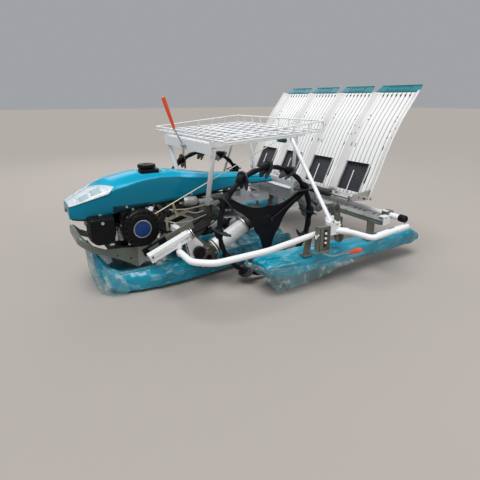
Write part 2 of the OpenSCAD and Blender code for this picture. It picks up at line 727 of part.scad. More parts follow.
module tray_support() {
    color([0.9, 0.9, 0.9]) place() {
        both_sides() {
            flat_bar(250, [end_tube_y, end_tube_z] + 16.3 * unit([stay_y - end_tube_y, stay_z - end_tube_z]),
                [stay_y, stay_z] - 11 * unit([stay_y - end_tube_y, stay_z - end_tube_z]), 24, 24);
        }
        translate([-420, stay_y - 11, stay_z - 11]) cube([840, 22, 22]);
    }
}

// Seedling tray: the line that the seedlings slide down, as [y, z]
tray_line = [[549, 424], [580, 497], [612, 560], [655, 660], [697, 745], [757, 845], [820, 924], [882, 1005]];
tray_x = row_pitch * 2 + 15;
window_x0 = 30;           // from a lane's right wall to its belt window
window_w = 178;
belt_z0 = 446;
belt_z1 = 606;

// The line moved square to itself by d, positive to the rear and down
function tray_offset(d) = [for (i = [0:len(tray_line) - 1])
    let (a = tray_line[max(i - 1, 0)], b = tray_line[min(i + 1, len(tray_line) - 1)], t = unit(b - a))
    tray_line[i] + d * [t[1], -t[0]]];

function tray_band(d0, d1) = concat(tray_offset(d0), [for (i = [len(tray_line) - 1:-1:0]) tray_offset(d1)[i]]);

side_step = 0.6;          // height of the side's middle step against the whole

module tray() {
    color([0.93, 0.93, 0.92]) place() {
        difference() {
            side_plate(tray_band(0, tray_t), -tray_x, 2 * tray_x);
            for (k = [-2:1]) translate([k * row_pitch + window_x0, 500, belt_z0]) cube([window_w, 220, belt_z1 - belt_z0]);
        }
        // ridges between the lanes
        for (k = [-1:1]) {
            side_plate(tray_band(-ridge_h * 0.5, 1), k * row_pitch - 21, 42);
            side_plate(tray_band(-ridge_h, 1), k * row_pitch - 12, 24);
        }
        // the sides rise in a cove: columns are the distance from the edge, width and height of each step
        for (r = [[0, 8, 1], [7, 15, side_step], [21, 16, 0.27]]) {
            side_plate(tray_band(-flange_h * r[2], 1), tray_x - r[0] - r[1], r[1]);
            side_plate(tray_band(-flange_h * r[2], 1), -tray_x + r[0], r[1]);
        }
        // shoes that slide on the guide rail, and the slide bar that runs along the rail behind
        for (x = [-370, -60, 240, 518]) side_plate([[rail_y, rail_z1 + seat], [rail_y + 20, rail_z1 + seat],
            proud(470, -3), proud(440, -3)], x, 50);
        side_plate([proud(stay_z - 2, -3), proud(stay_z + 12, -3), [stay_y - 11 - seat, stay_z + 12],
            [stay_y - 11 - seat, stay_z - 2]], -560, 1120);
        // ribs along each lane
        for (k = [-2:1], j = [1:3]) side_plate(tray_band(-4, 1), k * row_pitch + 214 + j * 14, 4);
    }
}

module tray_flaps() {
    // each flap's right and left end
    ends = [[-606, -352], [-318, -62], [-22, 250], [286, 592]];
    color([0.05, 0.5, 0.56]) place() for (e = ends)
        translate([e[0], 880, 1006.8]) rotate([38, 0, 0]) linear_extrude(4)
            polygon([[0, 0], [e[1] - e[0], 0], [e[1] - e[0] - 14, 60], [14, 60]]);
}

module feed_belts() {
    color([0.08, 0.09, 0.11]) place() for (k = [-2:1])
        intersection() {
            side_plate(tray_band(tray_t + seat, tray_t + 18), k * row_pitch + window_x0 - 8, window_w + 16);
            translate([-800, 500, belt_z0 - 20]) cube([1600, 260, belt_z1 - belt_z0 + 40]);
        }
}

// Distance behind the axle of the seedling face at height z, and a point proud of it by d
function face_y(z) = lookup(z, [for (p = tray_line) [p[1], p[0]]]);
function proud(z, d) = let (t = unit([face_y(z + 20) - face_y(z - 20), 40])) [face_y(z), z] + d * [-t[1], t[0]];

module press_rods() {
    // a foot on the tray under the window carries the rod that holds the seedlings down
    top = proud(560, 14);
    foot = proud(444, 12);
    color([0.93, 0.93, 0.93]) place() for (k = [-2:1]) let (x = k * row_pitch + window_x0 + window_w * 0.5) {
        bar([x, foot[0], foot[1]], [x, top[0], top[1]], 6);
        bar(concat([x], proud(444, seat)), concat([x], proud(444, 14)), 14);
    }
}

module feed_rod() {
    color([0.78, 0.78, 0.78]) place() {
        cross_pin(295, boot_y, boot_z, 600 - 295, rod_d);
        // arm from the rod to the tray
        side_plate([[boot_y - 16, boot_z - 16], [boot_y + 16, boot_z - 16], proud(446, flange_h * side_step + seat),
            proud(476, flange_h * side_step + seat),
            [boot_y + 16, boot_z + 16], [boot_y - 16, boot_z + 16]], 592, 12);
    }
}

module planting_crank() {
    x0 = 190;             // inner end of the shaft
    x1 = 390;             // outer end
    color([0.5, 0.5, 0.5]) {
        cross_pin(x0, shaft_y, shaft_z, x1 - x0, shaft_d);
        for (x = [x0 - 12, x1]) {
            cross_pin(x, shaft_y, shaft_z, 12, 42);
            cross_pin(x, shaft_y, shaft_z + throw_r, 12, 26);
            translate([x, shaft_y - 12, shaft_z]) cube([12, 24, throw_r]);
        }
        cross_pin(x0 - 12 - 46, shaft_y, shaft_z + throw_r, 46, pin_d);
        cross_pin(x1 + 12, shaft_y, shaft_z + throw_r, 46, pin_d);
    }
}

module planting_crank_left() { place() planting_crank(); }
module planting_crank_right() { place() mirror([1, 0, 0]) planting_crank(); }

module planting_arms() {
    // housing outline from its pin, as [y, z] offsets
    outline = concat(arc(0, 0, 24, 20, 200, 8), [[-14, -60], [20, -136], [56, -136], [58, -118], [34, -60]]);
    color([0.45, 0.46, 0.44]) for (x = [130, 426]) translate([x, shaft_y, shaft_z + throw_r]) {
        difference() {
            side_plate(outline, 0, 34);
            cross_pin(-10, 0, 0, 60, pin_d + 2 * shaft_play);
        }
        // planting claw
        for (c = [4, 24]) translate([c, 38, -132]) rotate([8, 0, 0]) translate([0, 0, -118]) cube([6, 10, 120]);
    }
}

module planting_arms_left() { place() planting_arms(); }
module planting_arms_right() { place() mirror([1, 0, 0]) planting_arms(); }

// Handles

box_z = 660;              // underside of the control box

module handle_frame() {
    color([0.85, 0.85, 0.84]) place() {
        // beam under the planting gear and the guide rail
        translate([-25, 376, 262]) cube([50, 290, 38 - seat]);
        translate([-25, 340, 300]) cube([50, 40, 84 - seat]);
    }
    color([0.93, 0.93, 0.93]) place() {
        both_sides() pipe(bend([[12, 640, 282], [60, 720, 300], [130, 900, 600], [grip_x, 1000, grip_z],
            [grip_x, grip_y - 110, grip_z]], 40), handle_d, up = [1, -0.2, 0]);
        // bar that carries the control box
        translate([-140, 930, box_z - 16]) cube([280, 22, 16]);
    }
}

module handle_grips() {
    color([0.06, 0.06, 0.06]) place() both_sides()
        bar([grip_x, grip_y - 110, grip_z], [grip_x, grip_y, grip_z], handle_d + 8);
}

module control_box() {
    color([0.1, 0.12, 0.13]) place() {
        translate([-110, 920, box_z]) cube([220, 56, 60]);
        for (x = [-80, -20, 40, 90]) {
            bar([x, 950, box_z + 55], [x, 970, box_z + 120], 8);
            translate([x, 972, box_z + 126]) sphere(d = 24);
        }
    }
}

rope_from = [starter_x - 20, -crank_y + (starter_r + 1.1) * cos(41), crank_z + (starter_r + 1.1) * sin(41)];
rope_to = [232, 176, rack_under(176) - 16];

module starter_rope() {
    // taut rope from the starter to its grip, which hooks under the rack
    color([0.85, 0.86, 0.8]) place() bar(rope_from, rope_to, 5);
    color([0.05, 0.3, 0.32]) place() translate(rope_to) rotate([0, 90, 0]) translate([0, 0, -10]) cylinder(h = 74, d = 26);
}

marker_z = rack_z - 46;   // height of the centre marker's bolt
marker_y = -rack_front - 0.6;

module centre_marker() {
    // hub on the rack's front plate, rod that leans forward and the sleeve at its tip
    color([0.75, 0.75, 0.75]) place() {
        translate([0, marker_y, marker_z]) rotate([90, 0, 0]) cylinder(h = 20, d = 24);
        bar([0, marker_y - 12, marker_z], [0, marker_y - 71, marker_z + 112], 10);
        bar([0, marker_y - 12, marker_z], [0, marker_y - 16, marker_z - 52], 14);
    }
    color([0.85, 0.3, 0.1]) place() bar([0, marker_y - 62, marker_z + 95], [0, marker_y - 115, marker_z + 256], 24);
}

engine_block();
starter_cover();
air_cleaner();
muffler();
bonnet();
headlamp();
fuel_cap();
bumper();
frame_plates();
gearbox();
main_beam();
swing_arm_left();
swing_arm_right();
rack_frame();
rack_basket();
rack_posts();
guard_pipe_left();
guard_pipe_right();
guard_brackets();
marker_brackets();
centre_float();
side_float_left();
side_float_right();
float_links();
planting_cover();
planting_cases();
feed_boot();
guide_rail();
end_tube();
tray_support();
handle_frame();
handle_grips();
control_box();
starter_rope();
wheel_left();
wheel_right();
tray();
tray_flaps();
feed_belts();
press_rods();
feed_rod();
planting_crank_left();
planting_crank_right();
planting_arms_left();
planting_arms_right();
centre_marker();
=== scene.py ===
"""Looks of a walk-behind four-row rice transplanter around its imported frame.

Lengths are millimetres with y = 0 at the wheel axle, as in the part's source; Form.publish() turns
them into metres in the shared frame. +X is the machine's left, -Y the way it drives, +Z is up.
"""

from __future__ import annotations

import logging
import math
from dataclasses import dataclass
from enum import Enum
from typing import Any, Callable, Iterable, Sequence

import bmesh
import bpy
import numpy as np
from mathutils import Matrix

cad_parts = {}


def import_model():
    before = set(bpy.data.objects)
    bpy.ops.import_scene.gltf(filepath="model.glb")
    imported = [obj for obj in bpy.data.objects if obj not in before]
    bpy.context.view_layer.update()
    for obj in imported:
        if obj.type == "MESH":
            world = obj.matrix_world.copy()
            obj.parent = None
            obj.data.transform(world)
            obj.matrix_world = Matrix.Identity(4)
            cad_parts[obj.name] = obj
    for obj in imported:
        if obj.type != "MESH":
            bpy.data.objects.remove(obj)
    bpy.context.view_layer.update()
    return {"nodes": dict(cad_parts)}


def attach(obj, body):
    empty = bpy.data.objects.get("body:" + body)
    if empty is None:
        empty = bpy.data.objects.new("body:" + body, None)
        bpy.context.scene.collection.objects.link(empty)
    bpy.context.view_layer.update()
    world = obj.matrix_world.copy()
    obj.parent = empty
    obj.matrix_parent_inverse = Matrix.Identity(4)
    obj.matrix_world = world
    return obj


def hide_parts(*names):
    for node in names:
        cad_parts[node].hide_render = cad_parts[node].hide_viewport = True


log = logging.getLogger("transplanter")

AXLE_Y = -107.5     # the axle's place in the shared frame
AXLE_Z = 330.0
WHEEL_X = 383.0
MM = 1000.0         # millimetres in a metre
SAME = 2e-6         # points nearer than this, in metres, are joined
LANES = range(-2, 2)
Array = np.ndarray
Colour = tuple[float, float, float]
Row = Sequence[float]


class Side(Enum):
    """The two sides of the machine, as the sign of X."""

    LEFT = 1.0
    RIGHT = -1.0

    @property
    def word(self) -> str:
        """The side as it stands in names."""
        return self.name.lower()


# Materials


class Shade:
    """One socket of a node tree, wrapped so that shader maths reads as Python."""

    def __init__(self, graph: Graph, socket: bpy.types.NodeSocket) -> None:
        """Keeps the socket and the graph that makes its nodes."""
        self.graph, self.socket = graph, socket

    def __add__(self, other: Shade | float) -> Shade:
        """Sum."""
        return self.graph.math("ADD", self, other)

    def __mul__(self, other: Shade | float) -> Shade:
        """Product."""
        return self.graph.math("MULTIPLY", self, other)

    def __gt__(self, other: Shade | float) -> Shade:
        """1 where this is the greater."""
        return self.graph.math("GREATER_THAN", self, other)

    def within(self, low: float, high: float) -> Shade:
        """Maps low..high to a smooth 0..1."""
        values = {"Value": self, "From Min": low, "From Max": high}
        return self.graph.shade("MapRange", "Result", values, interpolation_type="SMOOTHSTEP")

    def wave(self) -> Shade:
        """Sine."""
        return self.graph.math("SINE", self, 0.0)


class Graph:
    """A material's node tree with short ways to add nodes."""

    def __init__(self, name: str) -> None:
        """Starts an empty material.

        Args:
            name: the material's name.
        """
        self.material = bpy.data.materials.new(name)
        self.material.use_nodes = True
        self.tree = self.material.node_tree
        self.tree.nodes.clear()
        place = self.node("TexCoord")
        self.place, self.facing = (Shade(self, place.outputs[key]) for key in ("Object", "Normal"))

    def node(self, kind: str, values: dict[Any, Any] | None = None, **settings: Any) -> bpy.types.Node:
        """Adds one node.

        Args:
            kind: the node's type after "ShaderNode".
            values: values or Shades by the name or number of their socket.
            settings: the node's attributes, set before the values.

        Returns:
            The node.
        """
        node = self.tree.nodes.new("ShaderNode" + kind)
        for key, value in settings.items():
            setattr(node, key, value)
        for key, value in (values or {}).items():
            socket = node.inputs[key]
            if isinstance(value, Shade):
                self.tree.links.new(value.socket, socket)
            elif isinstance(value, tuple) and socket.type == "RGBA":
                socket.default_value = (*value, 1.0)
            else:
                socket.default_value = value
        return node

    def shade(self, kind: str, output: str | int, values: dict[Any, Any], **settings: Any) -> Shade:
        """One output of a new node."""
        return Shade(self, self.node(kind, values, **settings).outputs[output])

    def math(self, operation: str, first: Shade | float, second: Shade | float) -> Shade:
        """One Math node's result."""
        return self.shade("Math", 0, {0: first, 1: second}, operation=operation)

    def mix(self, factor: Shade | float, low: Any, high: Any) -> Shade:
        """Mixes two colours by a factor."""
        return self.shade("Mix", 2, {0: factor, 6: low, 7: high}, data_type="RGBA")

    def stretched(self, scale: Colour) -> Shade:
        """Object coordinates with their own scale along each axis."""
        return self.shade("Mapping", 0, {"Vector": self.place, "Scale": scale})

    def noise(self, scale: float, detail: float = 3.0, where: Shade | None = None,
              output: str = "Fac") -> Shade:
        """Noise from 0 to 1 at a scale in waves a metre."""
        values = {"Vector": where or self.place, "Scale": scale, "Detail": detail}
        return self.shade("TexNoise", output, values)

    def cells(self, scale: float) -> Shade:
        """Distance to the nearest point of a Voronoi pattern."""
        return self.shade("TexVoronoi", "Distance", {"Vector": self.place, "Scale": scale})

    def axis(self, name: str, of: Shade | None = None) -> Shade:
        """One axis of a vector, by default of the object coordinates."""
        return self.shade("SeparateXYZ", name, {0: of or self.place})

    def bump(self, height: Shade, depth: float, strength: float = 0.6) -> Shade:
        """A bumped normal; depth in metres."""
        return self.shade("Bump", "Normal", {"Height": height, "Distance": depth, "Strength": strength})

    def surface(self, **values: Any) -> bpy.types.Material:
        """Closes the tree with one Principled shader.

        Args:
            values: sockets by name, with an underscore for each space.

        Returns:
            The material.
        """
        shader = self.node("BsdfPrincipled", {key.replace("_", " "): value for key, value in values.items()})
        self.tree.links.new(shader.outputs[0], self.node("OutputMaterial").inputs[0])
        return self.material


def scaled(colour: Colour, factor: float, lift: float = 0.0) -> Colour:
    """A colour times a factor, with 1 as its limit."""
    return tuple(min(1.0, c * factor + lift) for c in colour)


@dataclass(frozen=True)
class Finish:
    """A finish that several pieces share; made once and kept by name."""

    name: str
    colour: Colour

    def material(self) -> bpy.types.Material:
        """The material, made on its first use."""
        return bpy.data.materials.get(self.name) or self.build(Graph(self.name))

    def build(self, graph: Graph) -> bpy.types.Material:
        """Builds the node tree of this kind of finish.

        Args:
            graph: an empty tree.

        Returns:
            The material.
        """
        raise NotImplementedError

    def dusted(self, graph: Graph, colour: Any, amount: float) -> tuple[Shade, Shade]:
        """Fine dust on faces that look up.

        Args:
            graph: the tree.
            colour: the clean colour.
            amount: how much of the dust's colour shows at most.

        Returns:
            The colour with dust, and the dust's mask.
        """
        up = graph.axis("Z", graph.facing).within(0.3, 1.0)
        dust = up * graph.noise(9.0, 5.0).within(0.35, 0.75) * amount
        return graph.mix(dust, colour, (0.46, 0.42, 0.36)), dust


@dataclass(frozen=True)
class Paint(Finish):
    """Sprayed paint: slight changes of tone, orange peel and dust, and painted top light that makes it
    brighter where it faces up.
    """

    rough: float = 0.32
    coat: float = 0.4
    peel: float = 420.0
    dust: float = 0.25
    specular: float = 0.4
    # painted top light: how many times brighter the upper faces are painted; 1 paints none
    painted_top_light: float = 1.0

    def build(self, graph: Graph) -> bpy.types.Material:
        """Tone from slow noise, or painted top light from the facing that paints upper faces brighter; orange
        peel from fast noise as bump.
        """
        tone, dark, bright = graph.noise(4.0, 2.0), scaled(self.colour, 0.86), self.colour
        if self.painted_top_light > 1.0:
            # painted top light: upper faces painted brighter, standing in for light from above
            tone = graph.axis("Z", graph.facing).within(0.45, 1.0) * 0.9 + tone * 0.1
            dark, bright = self.colour, scaled(self.colour, self.painted_top_light)
        colour, dust = self.dusted(graph, graph.mix(tone, dark, bright), self.dust)
        rough = graph.noise(30.0, 4.0) * 0.14 + (self.rough - 0.07) + dust * 0.5
        return graph.surface(Base_Color=colour, Roughness=rough, Coat_Weight=self.coat, Coat_Roughness=0.12,
                             Normal=graph.bump(graph.noise(self.peel, 1.0), 0.0004, 0.25),
                             Specular_IOR_Level=self.specular)


@dataclass(frozen=True)
class Split(Paint):
    """Paint that changes to another tone behind a line across the machine."""

    behind: Colour = (0.33, 0.34, 0.32)
    line: float = -0.76

    def build(self, graph: Graph) -> bpy.types.Material:
        """The line lies across Y of the object coordinates."""
        colour = graph.mix(graph.axis("Y") > self.line, self.colour, self.behind)
        tone = graph.mix(graph.noise(9.0, 4.0) * 0.3, colour, (0.05, 0.055, 0.05))
        shown, dust = self.dusted(graph, tone, self.dust)
        return graph.surface(Base_Color=shown, Roughness=dust * 0.4 + self.rough, Coat_Weight=self.coat)


@dataclass(frozen=True)
class Moulded(Finish):
    """Moulded plastic or rubber with a fine grain."""

    rough: float = 0.45
    grain: float = 900.0
    depth: float = 0.0003
    dust: float = 0.3
    specular: float = 0.5

    def build(self, graph: Graph) -> bpy.types.Material:
        """Grain from small cells, worn tone from slow noise."""
        tone = graph.noise(12.0, 4.0)
        worn = graph.mix(tone, self.colour, scaled(self.colour, 1.35, 0.006))
        colour, dust = self.dusted(graph, worn, self.dust)
        return graph.surface(Base_Color=colour, Roughness=tone * 0.2 + (self.rough - 0.1) + dust * 0.5,
                             Normal=graph.bump(graph.cells(self.grain), self.depth, 0.35),
                             Specular_IOR_Level=self.specular)


@dataclass(frozen=True)
class Cast(Finish):
    """Sand-cast alloy or iron: grainy, stained in its hollows."""

    metal: float = 0.75
    rough: float = 0.52

    def build(self, graph: Graph) -> bpy.types.Material:
        """Grain bump, dark stains from slow noise, brighter flecks."""
        stain = graph.noise(22.0, 6.0).within(0.42, 0.68)
        fleck = graph.noise(160.0, 3.0).within(0.55, 0.75)
        stained = graph.mix(stain * 0.7, self.colour, scaled(self.colour, 0.45))
        return graph.surface(Base_Color=graph.mix(fleck * 0.6, stained, scaled(self.colour, 1.3)),
                             Metallic=self.metal, Roughness=stain * 0.2 + fleck * -0.1 + self.rough,
                             Normal=graph.bump(graph.noise(320.0, 4.0), 0.0012, 0.5))


@dataclass(frozen=True)
class Plated(Finish):
    """Zinc-plated or drawn metal: spangle, light scratches, a yellow or blue tinge."""

    tinge: Colour = (0.62, 0.58, 0.42)
    rough: float = 0.3

    def build(self, graph: Graph) -> bpy.types.Material:
        """Spangle from cells, tinge from slow noise, scratches from stretched noise."""
        spangled = graph.mix(graph.cells(140.0), self.colour, scaled(self.colour, 0.8))
        colour = graph.mix(graph.noise(16.0, 4.0).within(0.4, 0.7) * 0.7, spangled, self.tinge)
        scratch = graph.noise(60.0, 4.0, graph.stretched((1.0, 9.0, 14.0)))
        return graph.surface(Base_Color=colour, Metallic=0.9, Roughness=scratch * 0.25 + (self.rough - 0.1),
                             Normal=graph.bump(scratch, 0.0004, 0.3))


@dataclass(frozen=True)
class Filmed(Finish):
    """A teal moulding under clear film: pale creases, milky haze, painted glints, painted top light, wet
    gloss.
    """

    haze: float = 0.75

    def build(self, graph: Graph) -> bpy.types.Material:
        """Streaks are noise drawn out along the machine and bent by slow noise; haze and creases are painted
        paler on upper faces as painted top light, and glints are painted highlights.
        """
        bent = {0: graph.noise(3.5, 3.0, output="Color"), 1: (0.10, 0.12, 0.10),
                2: graph.stretched((1.0, 0.2, 1.1))}
        where = graph.shade("VectorMath", 0, bent, operation="MULTIPLY_ADD")
        # up weights the painted top light on upper faces
        up = graph.axis("Z", graph.facing).within(-0.2, 0.9)
        streak = graph.noise(30.0, 5.0, where).within(0.54, 0.72)
        # painted highlight: small sharp glints
        painted_glint = graph.noise(64.0, 5.0, where).within(0.60, 0.68)
        # the film's milky haze, partly painted top light: stronger where the face looks up
        haze_and_top_light = graph.noise(9.0, 5.0, where).within(0.44, 0.68) * (up * 0.75 + 0.15) * self.haze
        patch = graph.noise(6.0, 4.0, where).within(0.3, 0.7)
        hazed_and_top_lit = graph.mix(haze_and_top_light, graph.mix(patch, scaled(self.colour, 0.5), self.colour), (0.12, 0.50, 0.62))
        # creases and glints painted pale, the creases paler on upper faces as painted top light
        creases_and_highlights = graph.mix(streak * (up * 0.3 + 0.12) + painted_glint * 0.25, hazed_and_top_lit, (0.66, 0.88, 0.92))
        height = streak * 0.5 + painted_glint * 0.3 + graph.noise(13.0, 5.0, where) * 1.3
        return graph.surface(Base_Color=creases_and_highlights, Roughness=haze_and_top_light * 0.15 + 0.16 + streak * 0.1,
                             Coat_Weight=0.5, Coat_Roughness=0.08, Specular_IOR_Level=0.3,
                             Normal=graph.bump(height, 0.006, 0.6))


@dataclass(frozen=True)
class ClearFilm(Finish):
    """Loose clear film that stands off the moulding."""

    def build(self, graph: Graph) -> bpy.types.Material:
        """Nearly clear, with fine white creases drawn out downward and a faint haze."""
        down = graph.stretched((1.0, 0.9, 0.6))
        crease = graph.noise(34.0, 4.0, down).within(0.48, 0.74)
        haze = graph.noise(11.0, 4.0, down).within(0.35, 0.7)
        return graph.surface(Base_Color=graph.mix(crease, self.colour, (0.84, 0.93, 0.95)), Roughness=0.12,
                             Coat_Weight=0.6, Alpha=crease * 0.26 + haze * 0.3 + 0.14,
                             Normal=graph.bump(crease + haze, 0.004, 0.6))


@dataclass(frozen=True)
class Lens(Finish):
    """Clear moulded lens."""

    def build(self, graph: Graph) -> bpy.types.Material:
        """Nearly clear, with a slight frost in streaks."""
        frost = graph.noise(30.0, 3.0)
        return graph.surface(Base_Color=self.colour, Roughness=frost * 0.1 + 0.05, Alpha=frost * 0.12 + 0.2,
                             Coat_Weight=1.0)


@dataclass(frozen=True)
class Belted(Finish):
    """A ribbed rubber belt; the ribs run across it."""

    pitch: float = 0.007

    def build(self, graph: Graph) -> bpy.types.Material:
        """Ribs are a sine along the height, as bump and as painted shade that darkens the troughs."""
        rib = (graph.axis("Z") * (2.0 * math.pi / self.pitch)).wave() * 0.5 + 0.5
        # painted shade: the troughs between the ribs are painted darker
        shown = rib * 0.5 + graph.noise(8.0, 4.0) * 0.4
        colour = graph.mix(shown, scaled(self.colour, 0.5), self.colour)
        return graph.surface(Base_Color=colour, Roughness=0.5, Normal=graph.bump(rib, 0.0015, 0.7))


# the teal shell carries painted top light: its upper faces are painted up to 2.3 times brighter
TEAL = Paint("teal_shell_paint", (0.0, 0.16, 0.25), rough=0.24, coat=0.25, peel=300.0, dust=0.0,
             specular=0.1, painted_top_light=2.3)
TEAL_FLAP = Paint("teal_flap_plastic", (0.0, 0.2, 0.25), rough=0.4, coat=0.1, dust=0.05)
WHITE = Paint("white_powder_coat", (0.9, 0.91, 0.92), rough=0.36, coat=0.3, dust=0.03)
TRAY_WHITE = Paint("tray_white_plastic", (0.93, 0.93, 0.92), rough=0.34, coat=0.2, peel=160.0, dust=0.03)
# painted shade of the tray: dark in the grooves, grey on the raised ridges and coves
GROOVE_SHADE = Paint("tray_groove_shade", (0.42, 0.42, 0.43), rough=0.5, coat=0.0, dust=0.1)
TRAY_RIDGE_SHADE = Paint("tray_ridge_painted_shade", (0.70, 0.695, 0.68), rough=0.38, coat=0.1, peel=160.0, dust=0.03)
OLIVE = Paint("olive_frame_paint", (0.14, 0.168, 0.14), rough=0.4, coat=0.25, dust=0.12)
PLATES = Split("frame_plate_paint", (0.14, 0.165, 0.14), rough=0.4, coat=0.2, dust=0.15)
ARM_OLIVE = Paint("arm_olive_paint", (0.155, 0.155, 0.125), rough=0.42, coat=0.2, dust=0.12)
BLACK_PAINT = Paint("engine_black_enamel", (0.006, 0.006, 0.007), rough=0.3, coat=0.2, dust=0.03,
                    specular=0.15)
BLACK_PLASTIC = Moulded("moulded_black", (0.003, 0.003, 0.004), rough=0.32, dust=0.02, specular=0.13)
RUBBER = Moulded("wheel_rubber", (0.003, 0.003, 0.005), rough=0.46, grain=600.0, dust=0.02, specular=0.14)
LUG_RUBBER = Moulded("lug_rubber", (0.016, 0.019, 0.022), rough=0.4, grain=500.0, dust=0.06, specular=0.35)
DARK_STEEL = Paint("blackened_steel", (0.012, 0.012, 0.012), rough=0.45, coat=0.1, dust=0.06, specular=0.25)
ALLOY = Cast("dull_alloy", (0.36, 0.37, 0.37), metal=0.55, rough=0.46)
DARK_ALLOY = Cast("oiled_alloy", (0.15, 0.15, 0.135), metal=0.5, rough=0.42)
IRON = Cast("grey_iron", (0.09, 0.085, 0.075), metal=0.45, rough=0.5)
COPPER = Cast("copper_cap", (0.55, 0.24, 0.14), metal=0.6, rough=0.4)
ZINC = Plated("zinc_plate", (0.62, 0.63, 0.62), tinge=(0.5, 0.47, 0.34))
YELLOW_ZINC = Plated("yellow_zinc", (0.52, 0.5, 0.4), tinge=(0.4, 0.33, 0.15), rough=0.36)
STEEL = Plated("bright_steel", (0.68, 0.68, 0.67), tinge=(0.58, 0.57, 0.52), rough=0.24)
HOT_STEEL = Plated("heat_stained_steel", (0.16, 0.14, 0.12), tinge=(0.25, 0.14, 0.06), rough=0.5)
SHEET = Plated("silver_sheet", (0.66, 0.68, 0.69), tinge=(0.6, 0.61, 0.6), rough=0.36)
BELT = Belted("feed_belt_rubber", (0.03, 0.03, 0.042))
ORANGE = Moulded("orange_sleeve", (0.8, 0.07, 0.01), rough=0.42, dust=0.05)
BLUE = Moulded("blue_disc", (0.006, 0.035, 0.14), rough=0.3, dust=0.0, specular=0.2)
TEAL_GRIP = Moulded("grip_dark_teal", (0.0, 0.06, 0.08), rough=0.4)
ROPE = Moulded("braided_rope", (0.60, 0.60, 0.47), rough=0.7, grain=700.0, depth=0.0008)
GRIP = Moulded("grip_rubber", (0.012, 0.012, 0.012), rough=0.6, grain=260.0, depth=0.001)
FLOAT_FILM = Filmed("filmed_float", (0.0, 0.31, 0.46))
LOOSE_FILM = ClearFilm("loose_film", (0.22, 0.55, 0.63))
PANE = Moulded("lamp_pane", (0.30, 0.42, 0.47), rough=0.2, dust=0.0)
SILVER = Moulded("lamp_silver", (0.72, 0.79, 0.83), rough=0.25, grain=200.0, depth=0.001, dust=0.0)
LENS = Lens("moulded_lens", (0.72, 0.80, 0.84))


# Meshes


@dataclass
class Form:
    """A mesh in the making: points in millimetres, faces, and a finish number for each face."""

    points: Array
    faces: list[tuple[int, ...]]
    skins: list[int]

    @staticmethod
    def of(points: Array, faces: Iterable[Sequence[int]], skin: int = 0) -> Form:
        """A form in one finish."""
        listed = [tuple(int(i) for i in face) for face in faces]
        return Form(np.asarray(points, float).reshape(-1, 3), listed, [skin] * len(listed))

    def __add__(self, other: Form) -> Form:
        """Both forms in one mesh."""
        base = len(self.points)
        moved = [tuple(i + base for i in face) for face in other.faces]
        return Form(np.vstack([self.points, other.points]), self.faces + moved, self.skins + other.skins)

    def moved(self, x: float = 0.0, y: float = 0.0, z: float = 0.0) -> Form:
        """The form at another place."""
        return Form(self.points + (x, y, z), self.faces, self.skins)

    def turned(self, axis: int, degrees: float) -> Form:
        """Turns the form about an axis.

        Args:
            axis: 0, 1 or 2.
            degrees: the angle, anticlockwise seen against the axis.

        Returns:
            The form. Each point is multiplied by the rotation matrix.
        """
        c, s = math.cos(math.radians(degrees)), math.sin(math.radians(degrees))
        i, j = [k for k in range(3) if k != axis]
        if axis == 1:
            s = -s
        turn = np.eye(3)
        turn[i, i], turn[i, j], turn[j, i], turn[j, j] = c, -s, s, c
        return Form(self.points @ turn.T, self.faces, self.skins)

    def aimed(self, axis: int) -> Form:
        """The form, drawn along X, turned to lie along another axis."""
        return self.turned(2, 90) if axis == 1 else self.turned(1, -90) if axis == 2 else self

    def on(self, side: Side) -> Form:
        """The form as drawn for the left, or mirrored to the right with its faces turned over."""
        if side is Side.LEFT:
            return self
        return Form(self.points * (-1, 1, 1), [face[::-1] for face in self.faces], self.skins)

    def both(self) -> Form:
        """The form and its mirror image."""
        return self + self.on(Side.RIGHT)

    def publish(self, name: str, slot: str, *finishes: Finish, body: str = "root",
                replaces: Sequence[str] = (), bevel: float = 0.0, wall: float = 0.0, edge: float = 32.0,
                raw: bool = False) -> bpy.types.Object:
        """Makes the Blender object, finishes its surface and gives it to a body.

        Args:
            name: the piece's name.
            slot: the record's material slot; not used.
            finishes: materials in the order of the finish numbers.
            body: the body that it rides.
            replaces: CAD nodes that it stands for.
            bevel: width of rounded edges, in millimetres.
            wall: thickness of a wall given inward to an open surface, in millimetres.
            edge: angle above which an edge stays sharp, where there is no bevel.
            raw: leaves the faces' directions as built, for an open surface.

        Returns:
            The object.
        """
        mesh = bpy.data.meshes.new(name)
        mesh.from_pydata(((self.points + (0, AXLE_Y, 0)) / MM).tolist(), [], self.faces)
        mesh.polygons.foreach_set("material_index", self.skins)
        work = bmesh.new()
        work.from_mesh(mesh)
        bmesh.ops.remove_doubles(work, verts=work.verts, dist=SAME)
        if not raw:
            bmesh.ops.recalc_face_normals(work, faces=work.faces)
        work.to_mesh(mesh)
        work.free()
        mesh.shade_smooth()
        piece = placed(name, mesh)
        for finish in finishes:
            mesh.materials.append(finish.material())
        if wall:
            solid = piece.modifiers.new("wall", "SOLIDIFY")
            solid.thickness, solid.offset, solid.use_even_offset = wall / MM, -1.0, False
        if bevel:
            soften(piece, bevel)
        else:
            mesh.set_sharp_from_angle(angle=math.radians(edge))
        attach(piece, body)
        if replaces:
            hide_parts(*replaces)
        log.info("%s: %d faces on %s", name, len(mesh.polygons), body)
        return piece


def soften(piece: bpy.types.Object, width: float, weld: bool = False) -> None:
    """Rounds a piece's edges.

    Args:
        piece: the object.
        width: the rounding's width in millimetres.
        weld: joins loose triangles first, as on a CAD node.
    """
    if weld:
        piece.modifiers.new("weld", "WELD").merge_threshold = SAME
    edges = piece.modifiers.new("edges", "BEVEL")
    edges.width, edges.segments = width / MM, 2
    edges.limit_method, edges.angle_limit = "ANGLE", math.radians(38)
    edges.use_clamp_overlap, edges.harden_normals = True, True


def join(forms: Iterable[Form]) -> Form:
    """Several forms as one."""
    return sum(forms, Form.of(np.zeros((0, 3)), []))


